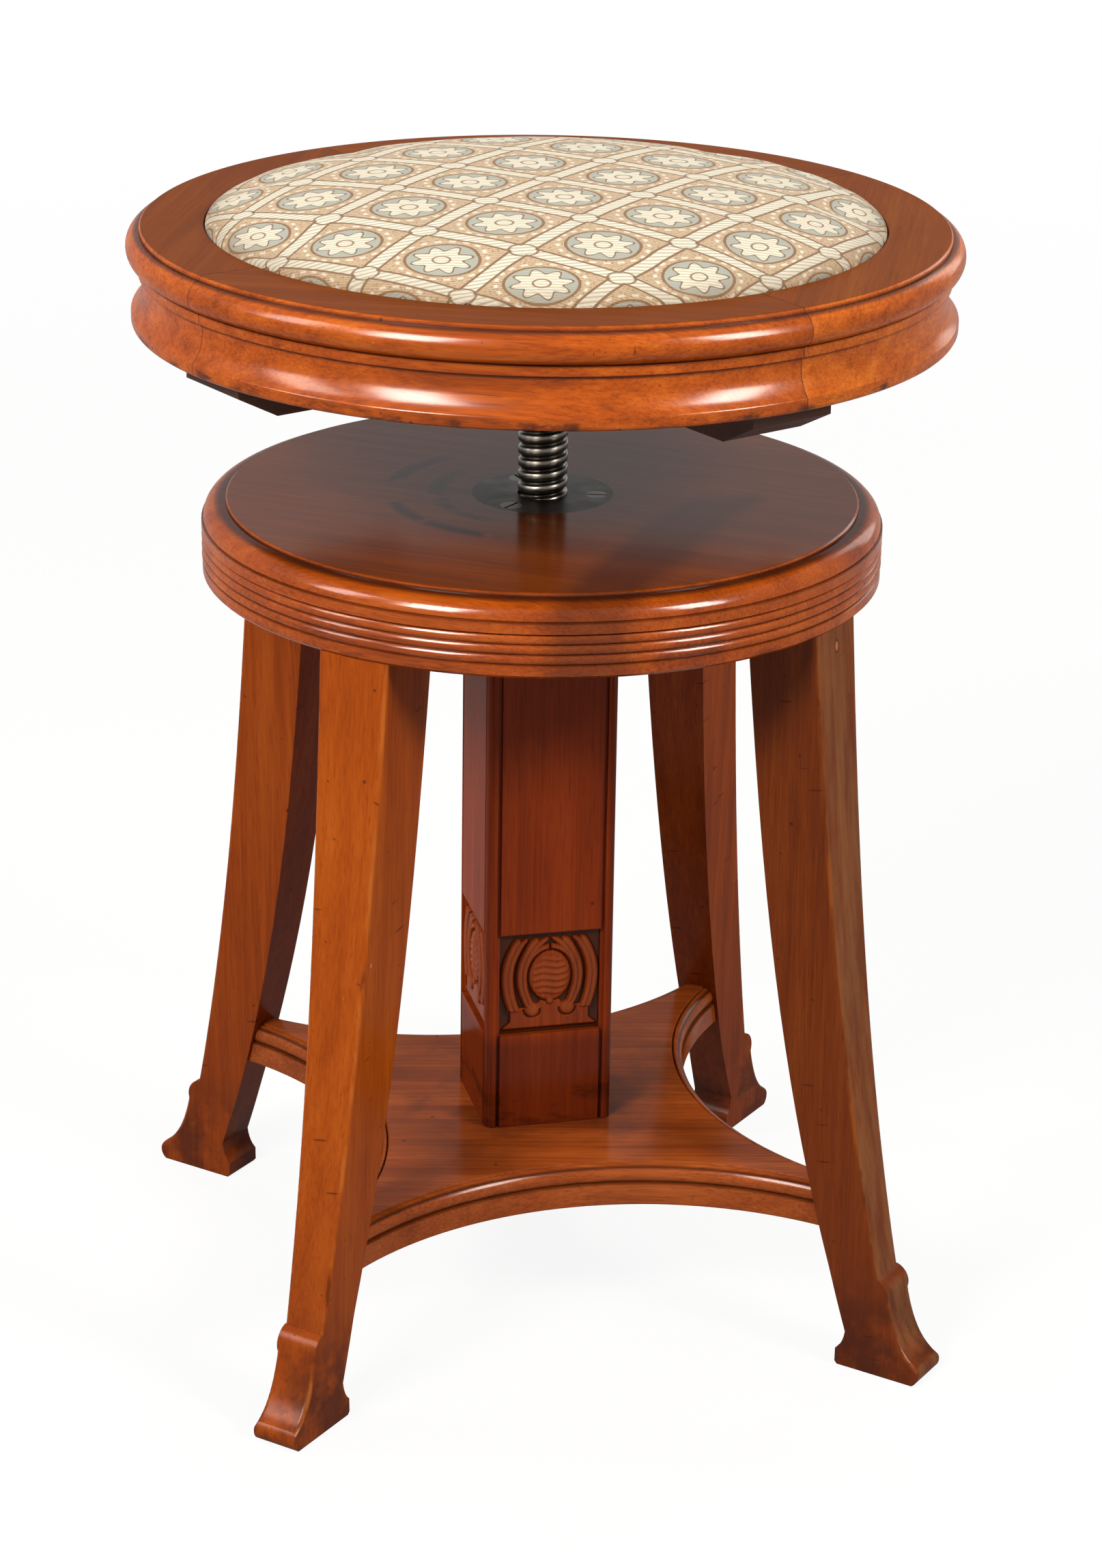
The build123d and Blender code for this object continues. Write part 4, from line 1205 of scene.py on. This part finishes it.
def polish_lamps(screw):
    """Tall lamps that show only in the polished wood and the screw, as long highlights."""
    shown = bpy.data.collections.new("polished")
    woods = ("base_disc", "platform", "rim_", "leg_", "column_")
    for node, piece in frame["nodes"].items():
        if node.startswith(woods) and not node.endswith(("dowels", "screws")):
            shown.objects.link(piece)
    shown.objects.link(screw)
    for name, place, width, height, power in (
        ("left_shine", (-1.64, -1.38, 1.58), 0.75, 1.3, 230.0),
        ("side_shine", (-2.1, -0.18, 1.5), 0.6, 1.2, 60.0),
        ("right_shine", (1.4, -1.61, 1.5), 0.6, 1.2, 160.0),
    ):
        lamp = area_light(name, place, width, height, power, lights=False, mirrored=True)
        lamp.light_linking.receiver_collection = shown


def camera():
    """Camera that sees the stool as the photograph's did."""
    azimuth, elevation = math.radians(CAMERA_AZIMUTH), math.radians(CAMERA_ELEVATION)
    roll = math.radians(CAMERA_ROLL)
    back = Vector((
        math.sin(azimuth) * math.cos(elevation),
        -math.cos(azimuth) * math.cos(elevation),
        math.sin(elevation),
    ))
    right = Vector((math.cos(azimuth), math.sin(azimuth), 0))
    up = back.cross(right)
    rolled_right = right * math.cos(roll) + up * math.sin(roll)
    rolled_up = up * math.cos(roll) - right * math.sin(roll)
    aim = Vector((0, 0, AIM_HEIGHT)) + right * AIM_TO_RIGHT
    data = bpy.data.cameras.new("camera")
    data.sensor_width = SENSOR_WIDTH
    data.lens = CAMERA_FOCAL_PIXELS * SENSOR_WIDTH / PHOTO_LONG_SIDE
    eye = in_scene("camera", data)
    turn = Matrix((rolled_right, rolled_up, back)).transposed().to_4x4()
    eye.matrix_world = Matrix.Translation(aim + back * CAMERA_DISTANCE) @ turn
    bpy.context.scene.camera = eye


camera()
white_world()
floor()
soft_lamps()

for node, finish in rim_materials():
    paint(finish, node)
paint(base_disc_wood(), "base_disc")
paint(platform_wood(), "platform")
for number, leg in enumerate(("front_left", "front_right", "back_left", "back_right"), start=1):
    paint(leg_wood(number), f"leg_{leg}")
paint(column_wood(), *(f"column_{side}" for side in COLUMN_SIDES))
paint(bearer_wood(), "bearer_a", "bearer_b")
paint(plain_wood("frame_wood", 80.0), "pad_frame")
paint(plain_wood("dowel_wood", 15.0), "rim_dowels", "leg_dowels", "platform_dowels")
iron = metal("blackened_iron", (64, 56, 50), (26, 22, 20), roughness=0.34, worn=0.3, metallic=0.85)
paint(iron, "nut_plate", "guide_block", "screw_flange", "screw_nut")
fastener = metal("fastener_steel", (150, 144, 134), (70, 64, 58), roughness=0.34, worn=0.3)
paint(fastener, "guide_bolt", "cover_tacks", *(node for node in frame["nodes"] if node.endswith("_screws")))

steel = metal("screw_steel", (126, 120, 112), (42, 38, 34), roughness=0.2, worn=0.25, layers=(thread_oil,))
screw = lead_screw(steel)
seat_cover(trellis_cloth())
stuffing(plain_cloth("wadding", (206, 196, 172), (150, 136, 110), 2.2))
jute = plain_cloth("jute", (176, 150, 112), (104, 82, 56), 2.6)
webbing_straps("webbing_lower", 0.0, jute, -1)
webbing_straps("webbing_upper", 90.0, jute, 1)
carving = carved_wood()
for number, side in enumerate(COLUMN_SIDES):
    carved_frieze(f"frieze_{side}", 90.0 * number, carving)
polish_lamps(screw)

bpy.context.scene.view_settings.view_transform = "Standard"
